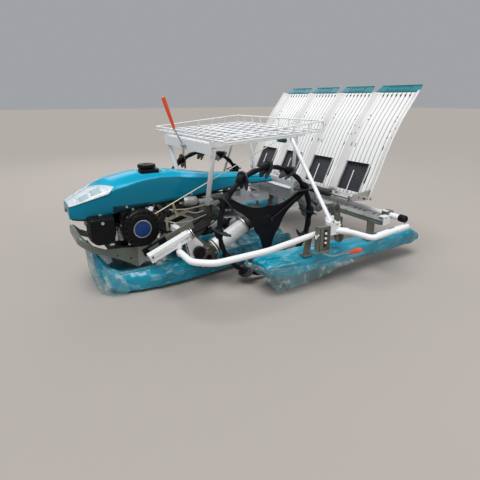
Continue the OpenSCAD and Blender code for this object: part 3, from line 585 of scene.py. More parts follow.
def lofted(rings: Array, capped: bool = True, closed: bool = True, skin: int = 0) -> Form:
    """A skin over rings of points.

    Args:
        rings: rows of points; each runs anticlockwise seen from the last ring.
        capped: closes both ends with one face.
        closed: joins the last point of each ring to its first.
        skin: the finish number.

    Returns:
        The form. Quad k of row i joins points k and k + 1 of rings i and i + 1.
    """
    rings = np.asarray(rings, float)
    count, each = rings.shape[:2]
    row, k = np.meshgrid(np.arange(count - 1), np.arange(each if closed else each - 1), indexing="ij")
    after = (k + 1) % each
    quads = np.stack([row * each + k, row * each + after, (row + 1) * each + after, (row + 1) * each + k], -1)
    faces = [tuple(q) for q in quads.reshape(-1, 4)]
    if capped:
        faces += [tuple(range(each))[::-1], tuple((count - 1) * each + i for i in range(each))]
    return Form.of(rings, faces, skin)


def sheet(rings: Array, skin: int = 0) -> Form:
    """An open surface over a grid of points."""
    return lofted(rings, False, False, skin)


def smooth_path(corners: Sequence[Row], radius: float, steps: int = 7) -> Array:
    """A path with rounded corners.

    Args:
        corners: the path's corners.
        radius: distance before a corner at which its rounding starts.
        steps: parts of each rounding.

    Returns:
        The points. Each corner becomes a quadratic curve between the points a radius before and after it.
    """
    path = np.asarray(corners, float)
    rows = [path[:1]]
    t = np.linspace(0, 1, steps + 1)[:, None]
    for before, corner, after in zip(path[:-2], path[1:-1], path[2:]):
        a, b = (corner + (end - corner) * min(0.48, radius / np.linalg.norm(end - corner))
                for end in (before, after))
        rows.append((1 - t) ** 2 * a + 2 * t * (1 - t) * corner + t ** 2 * b)
    return np.vstack(rows + [path[-1:]])


def tube(path: Sequence[Row], radius: float | Sequence[float], sides: int = 16, skin: int = 0,
         round_ends: bool = False) -> Form:
    """A round tube along a path.

    Args:
        path: its points.
        radius: one radius, or one for each point.
        sides: points of a ring.
        skin: the finish number.
        round_ends: adds a short shrinking ring at each end.

    Returns:
        The form. The rings stand square to the path, and each one's first side is carried along from
        the ring before with the least twist.
    """
    path = np.asarray(path, float)
    radii = np.broadcast_to(np.asarray(radius, float), len(path)).copy()
    if round_ends:
        first, last = (d / np.linalg.norm(d) for d in (path[0] - path[1], path[-1] - path[-2]))
        path = np.vstack([path[0] + first * radii[0] * 0.3, path, path[-1] + last * radii[-1] * 0.3])
        radii = np.concatenate([[radii[0] * 0.7], radii, [radii[-1] * 0.7]])
    along = np.gradient(path, axis=0)
    along /= np.linalg.norm(along, axis=1)[:, None]
    up = np.eye(3)[int(np.argmin(np.abs(along[0])))]
    ups = []
    for direction in along:
        up = up - direction * (up @ direction)
        up = up / np.linalg.norm(up)
        ups.append(up)
    across = np.cross(along, np.array(ups))
    angle = 2 * np.pi * np.arange(sides) / sides
    rings = (path[:, None] + radii[:, None, None] * (np.cos(angle)[None, :, None] * across[:, None] * -1
             + np.sin(angle)[None, :, None] * np.array(ups)[:, None]))
    return lofted(rings[:, ::-1], skin=skin)


def rounded(corners: Sequence[Row], bend: float, steps: int, radius: float, sides: int,
            skin: int = 0) -> Form:
    """A tube along a path with rounded corners."""
    return tube(smooth_path(corners, bend, steps), radius, sides, skin)


def turned(profile: Sequence[Row], sides: int = 48, skin: int = 0,
           flute: tuple[Iterable[int], Callable[[Array], Array]] | None = None) -> Form:
    """A shape turned about the X axis.

    Args:
        profile: rows of [x, radius]; it closes at both ends when those radii are 0.
        sides: points round the axis.
        skin: the finish number.
        flute: rows of the profile, and what the angle adds to the factor on their radius.

    Returns:
        The form: point k of row i lies at x_i and at radius r_i in the direction of angle k.
    """
    table = np.asarray(profile, float)
    angle = 2 * np.pi * np.arange(sides) / sides
    factor = np.ones((len(table), sides))
    if flute:
        factor[list(flute[0])] += flute[1](angle)
    radius = table[:, 1:2] * factor
    x = np.broadcast_to(table[:, :1], radius.shape)
    return lofted(np.stack([x, radius * np.cos(angle), radius * np.sin(angle)], -1), skin=skin)


def drum(start: float, end: float, radius: float, sides: int = 48, skin: int = 0) -> Form:
    """A plain cylinder about the X axis."""
    return turned([[start, 0], [start, radius], [end, radius], [end, 0]], sides, skin)


def rod(start: Row, end: Row, radius: float, sides: int = 14, skin: int = 0) -> Form:
    """A straight round rod."""
    return tube(np.array([start, end], float), radius, sides, skin)


def boxes(*blocks: Row) -> Form:
    """Blocks to be rounded by a bevel.

    Args:
        blocks: low corner x, y, z, high corner x, y, z, and the finish number where it isn't 0.

    Returns:
        The form.
    """
    made = []
    for x0, y0, z0, x1, y1, z1, *skin in blocks:
        ring = [[x0, y0], [x1, y0], [x1, y1], [x0, y1]]
        made.append(lofted([[[x, y, z] for x, y in ring] for z in (z0, z1)], skin=int(sum(skin))))
    return join(made)


def plate(outline: Sequence[Row], x0: float, x1: float, skin: int = 0) -> Form:
    """A plate cut from an outline of [y, z] points, between two values of x.

    Args:
        outline: the points, in either direction.
        x0: its lower face.
        x1: its upper face.
        skin: the finish number.

    Returns:
        The form.
    """
    ring = np.asarray(outline, float)
    area = np.sum(ring[:, 0] * np.roll(ring[:, 1], -1) - np.roll(ring[:, 0], -1) * ring[:, 1])
    ring = ring[::-1] if area < 0 else ring
    return lofted([np.column_stack([np.full(len(ring), x), ring]) for x in (x0, x1)], skin=skin)


def strip(a: Row, b: Row, half: float, x0: float, x1: float, skin: int = 0) -> Form:
    """A straight flat bar.

    Args:
        a: one end of its middle line, as y and z.
        b: the other end.
        half: half its height.
        x0: its lower face.
        x1: its upper face.
        skin: the finish number.

    Returns:
        The form.
    """
    a, b = np.asarray(a, float), np.asarray(b, float)
    along = (b - a) / np.linalg.norm(b - a)
    side = np.array([-along[1], along[0]]) * half
    return plate([a - side, b - side, b + side, a + side], x0, x1, skin)


def hexagon(centre: Row, across: float, height: float, skin: int = 0) -> Form:
    """A nut or bolt head along X."""
    return drum(0, height, across * 0.56, 6, skin).moved(*centre)


def bolts(places: Iterable[Row], axis: int, size: float, skin: int = 0, outward: int = 1) -> Form:
    """Washers with hexagon heads.

    Args:
        places: their seats.
        axis: the axis along which they stand: 0, 1 or 2.
        size: the washer's radius.
        skin: the finish number.
        outward: 1 or -1, the direction along that axis.

    Returns:
        The form.
    """
    span, top = size * 0.22, size * 0.72
    form = drum(0, span, size, 20, skin) + turned([[span, 0], [span, top], [span + size * 0.5, top], [
        span + size * 0.6, size * 0.6], [span + size * 0.6, 0]], 6, skin)
    form = (form.turned(2, 180) if outward < 0 else form).aimed(axis)
    return join(form.moved(*place) for place in places)


def circle(count: int, radius: float, start: float = 0.0, y: float = 0.0,
           z: float = 0.0) -> list[tuple[float, float]]:
    """Places on a circle in the YZ plane, from a starting angle in degrees."""
    turns = [math.radians(start + 360 * k / count) for k in range(count)]
    return [(y + radius * math.cos(a), z + radius * math.sin(a)) for a in turns]


def smoothed(values: Array, width: int) -> Array:
    """Running mean along the first axis, with held ends.

    Args:
        values: one row for each step.
        width: rows to each side that count, weighted by a raised cosine.

    Returns:
        As many rows.
    """
    values = np.asarray(values, float)
    padded = np.pad(values, [(width, width)] + [(0, 0)] * (values.ndim - 1), mode="edge")
    kernel = np.hanning(2 * width + 3)[1:-1]
    return np.apply_along_axis(lambda column: np.convolve(column, kernel / kernel.sum(), "valid"), 0, padded)


def looked_up(table: Sequence[Row], at: Array) -> Array:
    """The columns of a table after its first one, drawn out in straight lines at values of the first."""
    given = np.array(table, float)
    return np.column_stack([np.interp(at, given[:, 0], column) for column in given[:, 1:].T])


def placed(name: str, data: bpy.types.ID) -> bpy.types.Object:
    """A new object in the scene."""
    made = bpy.data.objects.new(name, data)
    bpy.context.scene.collection.objects.link(made)
    return made


# Studio


@dataclass
class Studio:
    """Floor, soft light and the camera at the photograph's angle."""

    camera_at: tuple[float, float, float] = (2.063, -1.3015, 0.970)
    yaw: float = 31.116      # the camera looks to -X, turned this far to +Y
    pitch: float = 16.175
    lens: float = 29.67
    shift: tuple[float, float] = (0.0021, -0.0552)
    floor_tone: Colour = (0.40, 0.365, 0.335)
    floor_half: float = 40.0
    sky: float = 0.38

    def build(self) -> None:
        """Makes the camera, the floor, the lamps and the world."""
        camera = bpy.data.cameras.new("camera")
        camera.lens, camera.sensor_width = self.lens, 36.0
        camera.shift_x, camera.shift_y = self.shift
        eye = placed("camera", camera)
        eye.location = self.camera_at
        eye.rotation_euler = (math.radians(90 - self.pitch), 0, math.radians(90 - self.yaw))
        bpy.context.scene.camera = eye
        self.floor()
        self.lamps()
        bpy.context.scene.view_settings.view_transform = "Standard"

    def floor(self) -> None:
        """A wide plain floor."""
        graph = Graph("floor")
        colour = graph.mix(graph.noise(1.5, 5.0) * 0.5, self.floor_tone, scaled(self.floor_tone, 0.93))
        mesh = bpy.data.meshes.new("floor")
        corners = [(x * self.floor_half, y * self.floor_half, 0)
                   for x, y in ((-1, -1), (1, -1), (1, 1), (-1, 1))]
        mesh.from_pydata(corners, [], [(0, 1, 2, 3)])
        mesh.materials.append(graph.surface(Base_Color=colour, Roughness=0.85, Specular_IOR_Level=0.2))
        placed("floor", mesh)

    def lamps(self) -> None:
        """One broad soft sun from above, two weaker lamps, and an even world."""
        for name, kind, spot, aim, size, power in (
                ("key", "SUN", (0.9, -1.5, 4.8), (0, 0, 0.3), math.radians(40), 2.65),
                ("fill", "AREA", (3.4, 1.2, 2.4), (0, 0.3, 0.4), 3.0, 20.0),
                ("back", "AREA", (-3.4, 0.6, 3.0), (0, 0, 0.4), 3.0, 36.0)):
            lamp = bpy.data.lights.new(name, kind)
            lamp.energy = power
            setattr(lamp, "angle" if kind == "SUN" else "size", size)
            holder = placed(name, lamp)
            holder.location = spot
            x, y, z = np.array(spot) - np.array(aim)
            holder.rotation_euler = (math.atan2(math.hypot(x, y), z), 0, math.atan2(y, x) + math.pi / 2)
        world = bpy.data.worlds.new("world")
        world.use_nodes = True
        back = world.node_tree.nodes["Background"]
        back.inputs[0].default_value = (0.93, 0.96, 1.0, 1.0)
        back.inputs[1].default_value = self.sky
        bpy.context.scene.world = world


# Front of the machine


@dataclass
class Bonnet:
    """The long teal bonnet with its lamp and fuel cap."""

    # columns are y, crown z, crease z, edge z, crease half width, edge half width
    sections: tuple[tuple[float, ...], ...] = (
        (-950, 472, 466, 412, 62, 74), (-928, 492, 476, 408, 92, 100), (-880, 524, 493, 405, 116, 122),
        (-811, 555, 512, 412, 134, 137), (-728, 585, 534, 434, 141, 145), (-601, 607, 566, 447, 139, 148),
        (-500, 606, 576, 453, 134, 145), (-400, 596, 570, 457, 126, 139), (-341, 586, 556, 460, 118, 132),
        (-154, 556, 528, 468, 88, 108), (51, 538, 516, 482, 62, 88), (256, 510, 496, 475, 51, 67))
    shell: float = 3.0
    top: float = 608.0
    cap_y: float = -520.0
    cap_z: float = 586.0
    cap_half: float = 52.0

    def skin_at(self, y: Array, s: Array, lift: float = 0.0) -> Array:
        """Points of the outer skin.

        Args:
            y: positions along the length.
            s: positions round the half section: 0 crown, 1 crease, 2 lower edge; negative on the right.
            lift: distance outward.

        Returns:
            Points. The table's rows are smoothed along the length. From crown to crease the section is a
            quarter of a flattened ellipse with a hollow before the crease; below the crease it is a side
            wall that bulges by a few millimetres. A low bump lies behind the lamp, and a flat under the cap.
        """
        y, s = np.broadcast_arrays(np.asarray(y, float), np.asarray(s, float))
        fine = np.linspace(self.sections[0][0], self.sections[-1][0], 242)
        table = np.column_stack([fine, smoothed(looked_up(self.sections, fine), 7)])
        crown, crease, edge, crease_x, edge_x = (
            column.reshape(y.shape) for column in looked_up(table, y.ravel()).T)
        a = np.abs(s)
        over = np.clip(a, 0, 1) * np.pi / 2
        down = np.clip(a - 1, 0, 1)
        depth = 2.0 + 20.0 * np.exp(-((y + 540) / 190) ** 4)
        hollow = depth * np.sin(np.clip((a - 0.22) / 0.7, 0, 1) * np.pi) ** 2
        wall_x = crease_x + (edge_x - crease_x) * down + 3.5 * np.sin(np.pi * down)
        x = np.where(a <= 1, crease_x * np.sin(over), wall_x)
        crowned = crease + (crown - crease) * np.cos(over) ** 0.9 - hollow
        z = np.where(a <= 1, crowned, crease + (edge - crease) * down)
        z = z + 9.0 * np.exp(-((y + 768) / 26) ** 4 - (x / 34) ** 4)
        flat = 1 / (1 + np.exp((np.maximum(np.abs(y - self.cap_y) / 62, x / 60) - 1) * 26))
        z = np.where(a < 1, z + (np.minimum(z, self.cap_z) - z) * flat, z)
        tilt = np.where(a <= 1, over * 0.75, np.pi / 2 - 0.1)
        return np.stack([np.sign(s + 1e-9) * (x + lift * np.sin(tilt)), y, z + lift * np.cos(tilt)], -1)

    def build(self) -> None:
        """Makes the shell, the lamp on both sides of the nose and the fuel cap."""
        half = np.concatenate([np.linspace(0.06, 1, 14), np.linspace(1.06, 2, 8)])
        s = np.concatenate([-half[::-1], [0.0], half])
        start, end = self.sections[0][0], self.sections[-1][0]
        y = np.concatenate([np.linspace(start, -900, 9), np.linspace(-892, -380, 84),
                            np.linspace(-370, end, 40)])
        rings = self.skin_at(y[:, None], s[None, :])
        rings[..., 2] = np.minimum(rings[..., 2], self.top)
        nose, tail = rings[0], rings[-1]
        middle = np.array([0.0, 0.0, nose[:, 2].mean() - 6])
        front = [middle * (1 - f) + nose * f + (0, (1 - f) * start - 1.5 * (1 - f * f), 0)
                 for f in (0.0, 0.5, 0.85)]
        rear = [tail * f + np.array([0, end, tail[:, 2].mean()]) * (1 - f) for f in (0.7, 0.0)]
        rings = np.array([*front, *rings, *rear])
        rings[..., 1] = np.clip(rings[..., 1], start - 1.5, end)
        sheet(rings).publish("bonnet_shell", "teal_shell", TEAL, replaces=["bonnet"], wall=self.shell,
                             edge=48, raw=True)
        self.lamp()
        self.cap()
        self.trim()

    def lamp(self) -> None:
        """A silver fluted bowl with panes on the skin, a clear lens over it, and its rim."""
        s = np.linspace(0.02, 0.95, 16)
        t = np.linspace(0, 1, 30)
        tail_y = np.interp(s, (0.02, 0.62, 0.95), (-846, -738, -770))
        y = -948 + (tail_y[None, :] + 948) * t[:, None]
        bowl = self.skin_at(y, s[None, :], 0.8)
        bowl[..., 2] += 1.6 * np.abs(np.sin(t[:, None] * 9.4 + 2 * s[None, :])) - 1.0
        panes = [sheet(self.skin_at(np.linspace(y0, y1, 5)[:, None], np.linspace(s0, s1, 6)[None, :], 2.4), 1)
                 for y0, y1, s0, s1 in ((-900, -858, 0.42, 0.8), (-846, -800, 0.36, 0.72))]
        join([sheet(bowl), *panes]).both().publish("headlamp_bowl", "clear_lens", SILVER, PANE, wall=0.5,
                                                   raw=True)
        lens = sheet(self.skin_at(y, s[None, :], 3.6)).both()
        lens.publish("headlamp_lens", "clear_lens", LENS, replaces=["headlamp"], wall=1.2, raw=True)
        rim = self.skin_at(np.concatenate([y[:, -1], y[-1, ::-1]]),
                           np.concatenate([np.full(len(t), s[-1]), s[::-1]]), 2.6)
        rims = join(tube(rim * (side.value, 1, 1), 1.6, 8) for side in Side)
        rims.publish("headlamp_rim", "clear_lens", WHITE)

    def cap(self) -> None:
        """A two-tier cap: knurled top over a narrow neck on a rounded black base, which is a superellipse."""
        angle = np.linspace(0, 2 * np.pi, 56, endpoint=False)
        c, q = np.cos(angle), np.sin(angle)
        r = self.cap_half / (np.abs(c) ** 3.2 + np.abs(q) ** 3.2) ** (1 / 3.2)
        steps = (0.97, 0), (1.0, 2), (0.99, 18), (0.95, 23), (0.86, 25), (0.62, 25.5), (0.0, 25.5)
        base = lofted([np.stack([size * r * c, size * r * q, np.full_like(c, height)], -1)
                       for size, height in steps], capped=False)
        top = turned([[0, 0], [0, 34], [5, 36], [6, 42], [7, 46], [9, 47], [19, 47], [23, 45.5], [25, 42],
                      [26, 28], [24.5, 26], [24.5, 0]], 72,
                     flute=(range(5, 9), lambda a: 0.016 * np.sign(np.sin(a * 18))))
        ridge = boxes((-24, -14, 47, 24, -4, 51))
        (base.moved(z=1) + top.aimed(2).moved(0, -9, 24) + ridge).moved(0, self.cap_y, self.cap_z).publish(
            "fuel_filler_cap", "black_plastic", BLACK_PLASTIC, replaces=["fuel_cap"], edge=40)

    def trim(self) -> None:
        """Rubber edging under the bonnet's rim and the screws in its side."""
        line = self.skin_at(np.linspace(-940, 250, 60), np.array(2.0)) - (2.2, 0, 1.5)
        tube(line, 3.0, 8).both().publish("bonnet_edging", "teal_shell", BLACK_PLASTIC)
        seats = self.skin_at(np.array([-690.0, -330.0, 60.0]), np.array(1.86)) - (0.5, 0, 0)
        bolts(seats, 0, 7.0).both().publish("bonnet_screws", "zinc_steel", ZINC)


@dataclass
class Engine:
    """The black engine: starter cover, air cleaner, shrouds, exhaust and the clutter round it."""

    crank: tuple[float, float] = (-634.0, 343.0)
    starter_x: float = 205.0
    starter_t: float = 42.0
    cleaner: tuple[float, float] = (-820.0, 354.0)
    cleaner_x: tuple[float, float] = (98.0, 190.0)

    def build(self) -> None:
        """Makes every piece of the engine."""
        self.starter()
        self.air_cleaner()
        self.clutter()

    def starter(self) -> None:
        """A dished cover with a raised rim, cooling slots and a plain blue disc, with its screws."""
        x1, x0 = self.starter_x, self.starter_x - self.starter_t
        dish = [[0, 0], [0, 97], [10, 97.5], [24, 97], [32, 94], [36, 88], [35, 82], [33, 79], [37, 75],
                [41, 68], [41.5, 60], [39, 55], [39, 44], [40, 42], [40, 0]]
        slot = boxes((x1 - 10, 74, -2.4, x1 - 4.8, 92, 2.4, 1))
        disc = turned([[x1 - 2.2, 0], [x1 - 2.2, 41], [x1 - 1.0, 41.6], [x1 - 0.8, 0]], 56, 2)
        ring = turned([[x1 - 2.4, 41.4], [x1 - 0.9, 42], [x1 - 0.4, 44], [x1 - 1.4, 46], [x1 - 2.8, 45.4]],
                      56, 3)
        form = join([turned([[x0 + a, b] for a, b in dish], 96),
                     *(slot.turned(0, k * 18) for k in range(20)), disc, ring,
                     bolts([(x0 + 22, *spot) for spot in circle(4, 93, 45)], 0, 6, 3)])
        form.moved(0, *self.crank).publish("recoil_starter", "black_plastic", BLACK_PLASTIC, DARK_STEEL, BLUE,
                                           ZINC, replaces=["starter_cover"], edge=36)

    def air_cleaner(self) -> None:
        """A moulded box with soft corners, a parting rim, clips and a bare recessed field."""
        x0, x1 = self.cleaner_x
        outline = [[-62, 60], [-56, 70], [56, 70], [62, 60], [64, -26], [46, -58], [30, -70], [-34, -70],
                   [-52, -54], [-64, -26]]
        ring = smooth_path([*outline, outline[0]], 14, 4)[:-1]
        levels = [(x0, 0.94), (x0 + 4, 0.99), (x0 + 30, 1.0), (x0 + 31, 1.035), (x0 + 37, 1.035),
                  (x0 + 38, 0.99), (x1 - 16, 0.965), (x1 - 6, 0.93), (x1 - 1, 0.86), (x1, 0.78)]
        ribs = ((x0 + 40, -65, -20 + k * 16, x1 - 20, -61.5, -14 + k * 16) for k in range(5))
        form = join([
            lofted([np.column_stack([np.full(len(ring), x), ring * f]) for x, f in levels]),
            boxes((x1 - 1.2, -40, -26, x1 + 0.6, 40, 22)), hexagon((x1 - 0.5, -2, 46), 15, 8, 1),
            boxes((x0 + 24, -8, 70, x0 + 46, 8, 77, 1), (x0 + 24, 56, -10, x0 + 46, 66, 10, 1), *ribs)])
        form.moved(0, *self.cleaner).publish("air_cleaner_box", "black_plastic", BLACK_PLASTIC, ZINC,
                                             replaces=["air_cleaner"], bevel=1.6)

    def clutter(self) -> None:
        """Carburettor, spark lead, throttle links and shroud fins, placed from the crankshaft."""
        seats = ((-92, 20), (-30, 96), (40, 92), (96, 24), (96, -40), (-96, -50), (30, -100))
        carburettor = join([
            boxes((70, -110, -42, 118, -66, 4)),
            turned([[118, 0], [118, 20], [128, 22], [136, 20], [138, 0]], 28).moved(0, -88, -20),
            turned([[0, 0], [0, 17], [30, 17], [34, 12], [34, 0]], 24).turned(1, 90).moved(96, -88, -40),
            bolts([(160, *seat) for seat in seats], 0, 7)])
        spark = turned([[0, 0], [0, 9], [26, 9], [30, 7], [44, 6], [46, 0]], 20).turned(2, 20)
        lead = rounded([(140, 108, 38), (150, 118, 42), (140, 100, 92), (100, 20, 96)], 18, 7, 3.5, 10, 1)
        levers = join([
            rounded([(150, -112, -20), (158, -60, -60), (150, -20, -96), (132, 30, -92)], 20, 7, 2.2, 8),
            boxes((140, -124, -58, 144, -112, -8), (144, -62, -92, 148, -50, -48)),
            bolts([(146, -56, -70)], 0, 7), drum(0, 22, 13, 20).turned(2, -90).moved(120, -128, -82)])
        fins = boxes(*((92, -122, 92 + k * 6, 150, 60, 94 + k * 6) for k in range(5)),
                     (92, -120, 88, 140, 60, 92))
        for form, name, slot, finishes, bevel in (
                (carburettor, "carburettor", "cast_alloy", [ALLOY], 1.2),
                (spark.moved(96, 92, 38) + lead, "spark_lead", "black_plastic", [COPPER, BLACK_PLASTIC], 0.0),
                (levers, "throttle_links", "zinc_steel", [ZINC], 0.6),
                (fins, "shroud_fins", "black_engine", [BLACK_PAINT], 0.6)):
            form.moved(0, *self.crank).publish(name, slot, *finishes, bevel=bevel)


# Running gear


@dataclass
class Wheel:
    """A paddy wheel: rubber-covered ring with paddle lugs on a three-armed disc."""

    side: Side
    rim_r: float = 305.0
    rim_t: float = 20.0
    rim_w: float = 26.0
    tip_r: float = 330.0
    lugs: int = 12
    lug_w: float = 112.0
    disc_root: float = 45.0
    arm_w: float = 40.0
    first_arm: float = -90.0

    def ring(self) -> Form:
        """The ring, with a swelling at each lug: radius and width grow by a power of a cosine."""
        around = np.linspace(0, 2 * np.pi, 288, endpoint=False)
        wave = np.clip(np.cos(around * self.lugs), 0, 1) ** 3
        swell = (wave + 0.8 * np.clip(np.cos(around * self.lugs + 2.4), 0, 1) ** 2)[:, None]
        angle = np.linspace(0, 2 * np.pi, 20, endpoint=False)
        c, s = (np.sign(v) * np.abs(v) ** 0.6 for v in (np.cos(angle), np.sin(angle)))
        r = self.rim_r - self.rim_t / 2 + 1.5 * swell + (self.rim_t / 2 + 4.0 * swell) * s
        x = (self.rim_w / 2 + 3.5 * swell) * c
        rings = np.stack([x, r * np.cos(around)[:, None], r * np.sin(around)[:, None]], -1)
        return lofted(np.concatenate([rings, rings[:1]]), capped=False)

    def lug(self) -> Form:
        """One paddle: a spooned blade across the ring whose tip trails its rubber foot."""
        u = np.linspace(-1, 1, 25)[None, :]
        v = np.linspace(0, 1, 8)[:, None]
        out = np.abs(u)
        low = self.rim_r - 22 - 42 * np.sin(np.pi * np.clip(out * 1.04, 0, 1)) ** 0.8
        r = low + (self.tip_r - 34 * out ** 3.2 - low) * v
        x = self.lug_w / 2 * u * (1 - 0.10 * (1 - v) ** 2)
        lean = 9.0 * out ** 1.6 + 34.0 * np.clip((self.tip_r - r) / 84, 0, 1) ** 1.3 - 6.0
        thick = 2.6 + 2.2 * (1 - out) * (1 - 0.4 * v)
        front, back = (np.stack([x, r, lean + way * thick], -1) for way in (1, -1))
        blade = sheet(np.concatenate([front, back[::-1], front[:1]]), 1)
        ends = [sheet(np.stack([front[:, e], back[:, e]], 1), 1) for e in (0, -1)]
        angle = np.linspace(0, 2 * np.pi, 24, endpoint=False)
        c, s = np.cos(angle), np.sin(angle)
        foot = []
        for across, size in ((-21, 0.55), (-18, 0.85), (-13, 1.0), (13, 1.0), (18, 0.85), (21, 0.55)):
            radius = np.minimum(self.rim_r - 10 + np.where(s > 0, 25, 15) * size * s, self.tip_r - 5)
            foot.append(np.stack([np.full(24, across), radius, np.where(c > 0, 46, 20) * size * c + 6], -1))
        return join([blade, *ends, lofted(foot)])

    def disc(self) -> Form:
        """The pressed disc: its edge is one closed curve whose radius falls between three arms."""
        reach = self.rim_r - self.rim_t
        radii = np.linspace(self.disc_root, reach + 6, 18)
        fall = np.clip((reach - radii) / (reach - self.disc_root), 0, 1) ** 3.8
        half = self.arm_w / 2 + (self.disc_root * math.tan(math.pi / 3) - self.arm_w / 2) * fall
        arm = np.vstack([np.column_stack([radii, -half]), np.column_stack([radii, half])[::-1]])
        turns = [np.array([[c, s], [-s, c]]) for c, s in circle(3, 1.0)]
        lines = [np.column_stack([radii, sign * (half - 2.5)]) @ turn for turn in turns for sign in (-1, 1)]
        beads = [tube(np.column_stack([np.full(len(line), 4.0), line]), 3.4, 8) for line in lines]
        return plate(np.vstack([arm @ turn for turn in turns]), -4, 4) + join(beads)

    def build(self) -> None:
        """Makes the wheel, its hub, nut, stay and axle as one piece on the wheel's body."""
        lug = self.lug()
        c, s = circle(1, 1.0, self.first_arm + 120)[0]
        seat = (0, 20 * c, 20 * s)
        form = join([
            self.ring(), self.disc().turned(0, self.first_arm),
            *(lug.turned(0, k * 360 / self.lugs) for k in range(self.lugs)),
            tube([[x, r * c, r * s] for x, r in ((8, 24), (11, 60), (11, 230), (8, 278))], 6.5, 14),
            turned([[4, 0], [4, 13], [15, 13], [17, 10], [17, 0]], 28).moved(*seat),
            bolts([(16.5, *seat[1:])], 0, 8, 1),
            turned([[-24, 0], [-24, 31], [-6, 31], [4, 40], [7, 30], [8, 28], [8, 17], [8, 0]], 40),
            turned([[7, 0], [7, 15], [9.5, 14], [11, 8], [11, 0]], 24), drum(-84, -22, 12.5, 32, 2)])
        name = f"wheel_{self.side.word}"
        form.moved(WHEEL_X, 0, AXLE_Z).on(self.side).publish(
            f"paddy_{name}", "wheel_black", RUBBER, LUG_RUBBER, ZINC, body=name, replaces=[name], edge=44)


@dataclass
class SwingArm:
    """Cast pivot, white tube and cast hub case that carry one wheel."""

    side: Side
    x: float = 268.0
    d: float = 84.0
    pivot: tuple[float, float] = (-330.0, 165.0)

    def build(self) -> None:
        """Makes the arm from three castings' shapes and a tube, all on the line from pivot to axle."""
        p, q = np.array([self.x, *self.pivot]), np.array([self.x, 0.0, AXLE_Z])
        length, half = np.linalg.norm(q - p), self.d / 2
        case = turned([[-half, 0], [-half, 58], [-half + 4, 63], [half - 4, 63], [half, 58], [half + 6, 52],
                       [half + 7, 40], [half + 15, 37], [half + 16, 34], [half + 16, 20], [half - 20, 20],
                       [half - 20, 0]], 48, 1)
        hub = turned([[-half, 0], [-half, 52], [-half + 5, 58], [half + 6, 58], [half + 12, 52],
                      [half + 12.5, 36], [half + 44, 34], [half + 48.5, 30], [half + 48.5, 12.7],
                      [half - 20, 12.7], [half - 20, 0]], 48, 1)
        rib = boxes((4 - half, 40, -3, half + 4, 62, 3, 1))
        # sides, finish number, and rows of the distance from the pivot and the radius there
        parts = ((40, 0, ((62, 40), (66, 42), (length - 92, 42))),
                 (48, 2, ((length - 99, 42), (length - 98.5, 60), (length - 93, 60), (length - 92.5, 48))),
                 (36, 1, ((20, 46), (48, 41.5), (70, 41), (70.5, 45), (78, 45), (78.5, 41))),
                 (36, 1, ((length - 84, 50), (length - 80, 40), (length - 30, 46), (length, 50))))
        form = join(tube([p + (q - p) / length * at for at, _ in stops], [r for _, r in stops], sides, skin)
                    for sides, skin, stops in parts)
        at_pivot = join([case, *(drum(-20, 4, 9, 16, 1).moved(half + 2, *spot) for spot in circle(5, 52, 20)),
                         bolts([(half + 5, *spot) for spot in circle(5, 52, 20)], 0, 6.5, 2),
                         *(rib.turned(0, k * 60 + 10) for k in range(6))])
        at_axle = hub + bolts([(half + 10, *spot) for spot in circle(6, 47)], 0, 6.5, 2)
        (form + at_pivot.moved(*p) + at_axle.moved(*q)).on(self.side).publish(
            f"wheel_arm_{self.side.word}", "white_paint", WHITE, IRON, ZINC,
            replaces=[f"swing_arm_{self.side.word}"], edge=36)


# Rack and side pipes


@dataclass
class Rack:
    """The white rack: welded wire basket on a folded frame, and the centre marker."""

    basket_x: float = 450.0
    front: float = 300.0
    rear: float = 310.0
    z: float = 768.0
    tilt: float = 3.2
    wire: float = 4.0
    rail_front: float = 26.0
    rail_rear: float = 50.0

    def tilted(self, points: Array) -> Array:
        """Places points of the rack's own frame: turned up to the rear about its front edge."""
        return Form(points, [], []).turned(0, self.tilt).moved(0, -self.front, self.z).points

    def build(self) -> None:
        """Makes the basket and the marker."""
        length, x, r = self.front + self.rear, self.basket_x, self.wire
        z = 0.3 + r
        wires = [([[at, 0, z], [at, length, z]], r) for at in np.linspace(-x, x, 12)]
        wires += [([[-x, y, z + r * 1.2], [x, y, z + r * 1.2]], r) for y in np.linspace(0, length, 9)]
        for at in (x, -x):
            wires.append(([[at, 2, z], [at, 0, z + self.rail_front], [at, length, z + self.rail_rear],
                           [at, length, z]], r))
            for f in np.arange(1, 6) / 6:
                top = z + self.rail_front * (1 - f) + self.rail_rear * f
                wires.append(([[at, f * length, z], [at, f * length, top]], r * 0.9))
        for y, rise in ((length, self.rail_rear), (0.0, self.rail_front)):
            wires.append(([[-x, y, z + rise], [x, y, z + rise]], r))
            wires += [([[at, y, z], [at, y, z + rise]], r * 0.9) for at in np.linspace(-x, x, 10)[1:-1]]
        basket = join(tube(self.tilted(smooth_path(corners, 16, 4)), radius, 8) for corners, radius in wires)
        basket.publish("wire_basket", "white_paint", WHITE, replaces=["rack_basket"])
        self.marker()

    def marker(self) -> None:
        """The centre marker: a plated rod on a bolt, with a tapered orange sleeve."""
        a, b = np.array([0, -60, 92.0]), np.array([0, -115, 256.0])
        radii = 7.0 + 4.0 * np.array([0, 0.3, 0.5, 0.6, 0.7, 0.8, 0.9, 1.0, 0.8])
        form = join([rounded([(0, -12, -52), (0, -12, 0), (0, -30, 34), (0, -70, 110)], 22, 7, 4.6, 14),
                     plate([[-16, -54], [-9, -54], [-6, 10], [-13, 10]], -9, 9),
                     bolts([(0, -16, 0)], 1, 11, outward=-1), drum(0, 16, 12, 24).turned(2, -90),
                     tube(a + (b - a) * np.linspace(0, 1, 9)[:, None], radii, 20, 1)])
        form.moved(0, -300.6, self.z - 46).publish("centre_marker_rod", "marker_orange", ZINC, ORANGE,
                                                   body="centre_marker", replaces=["centre_marker"], edge=40)


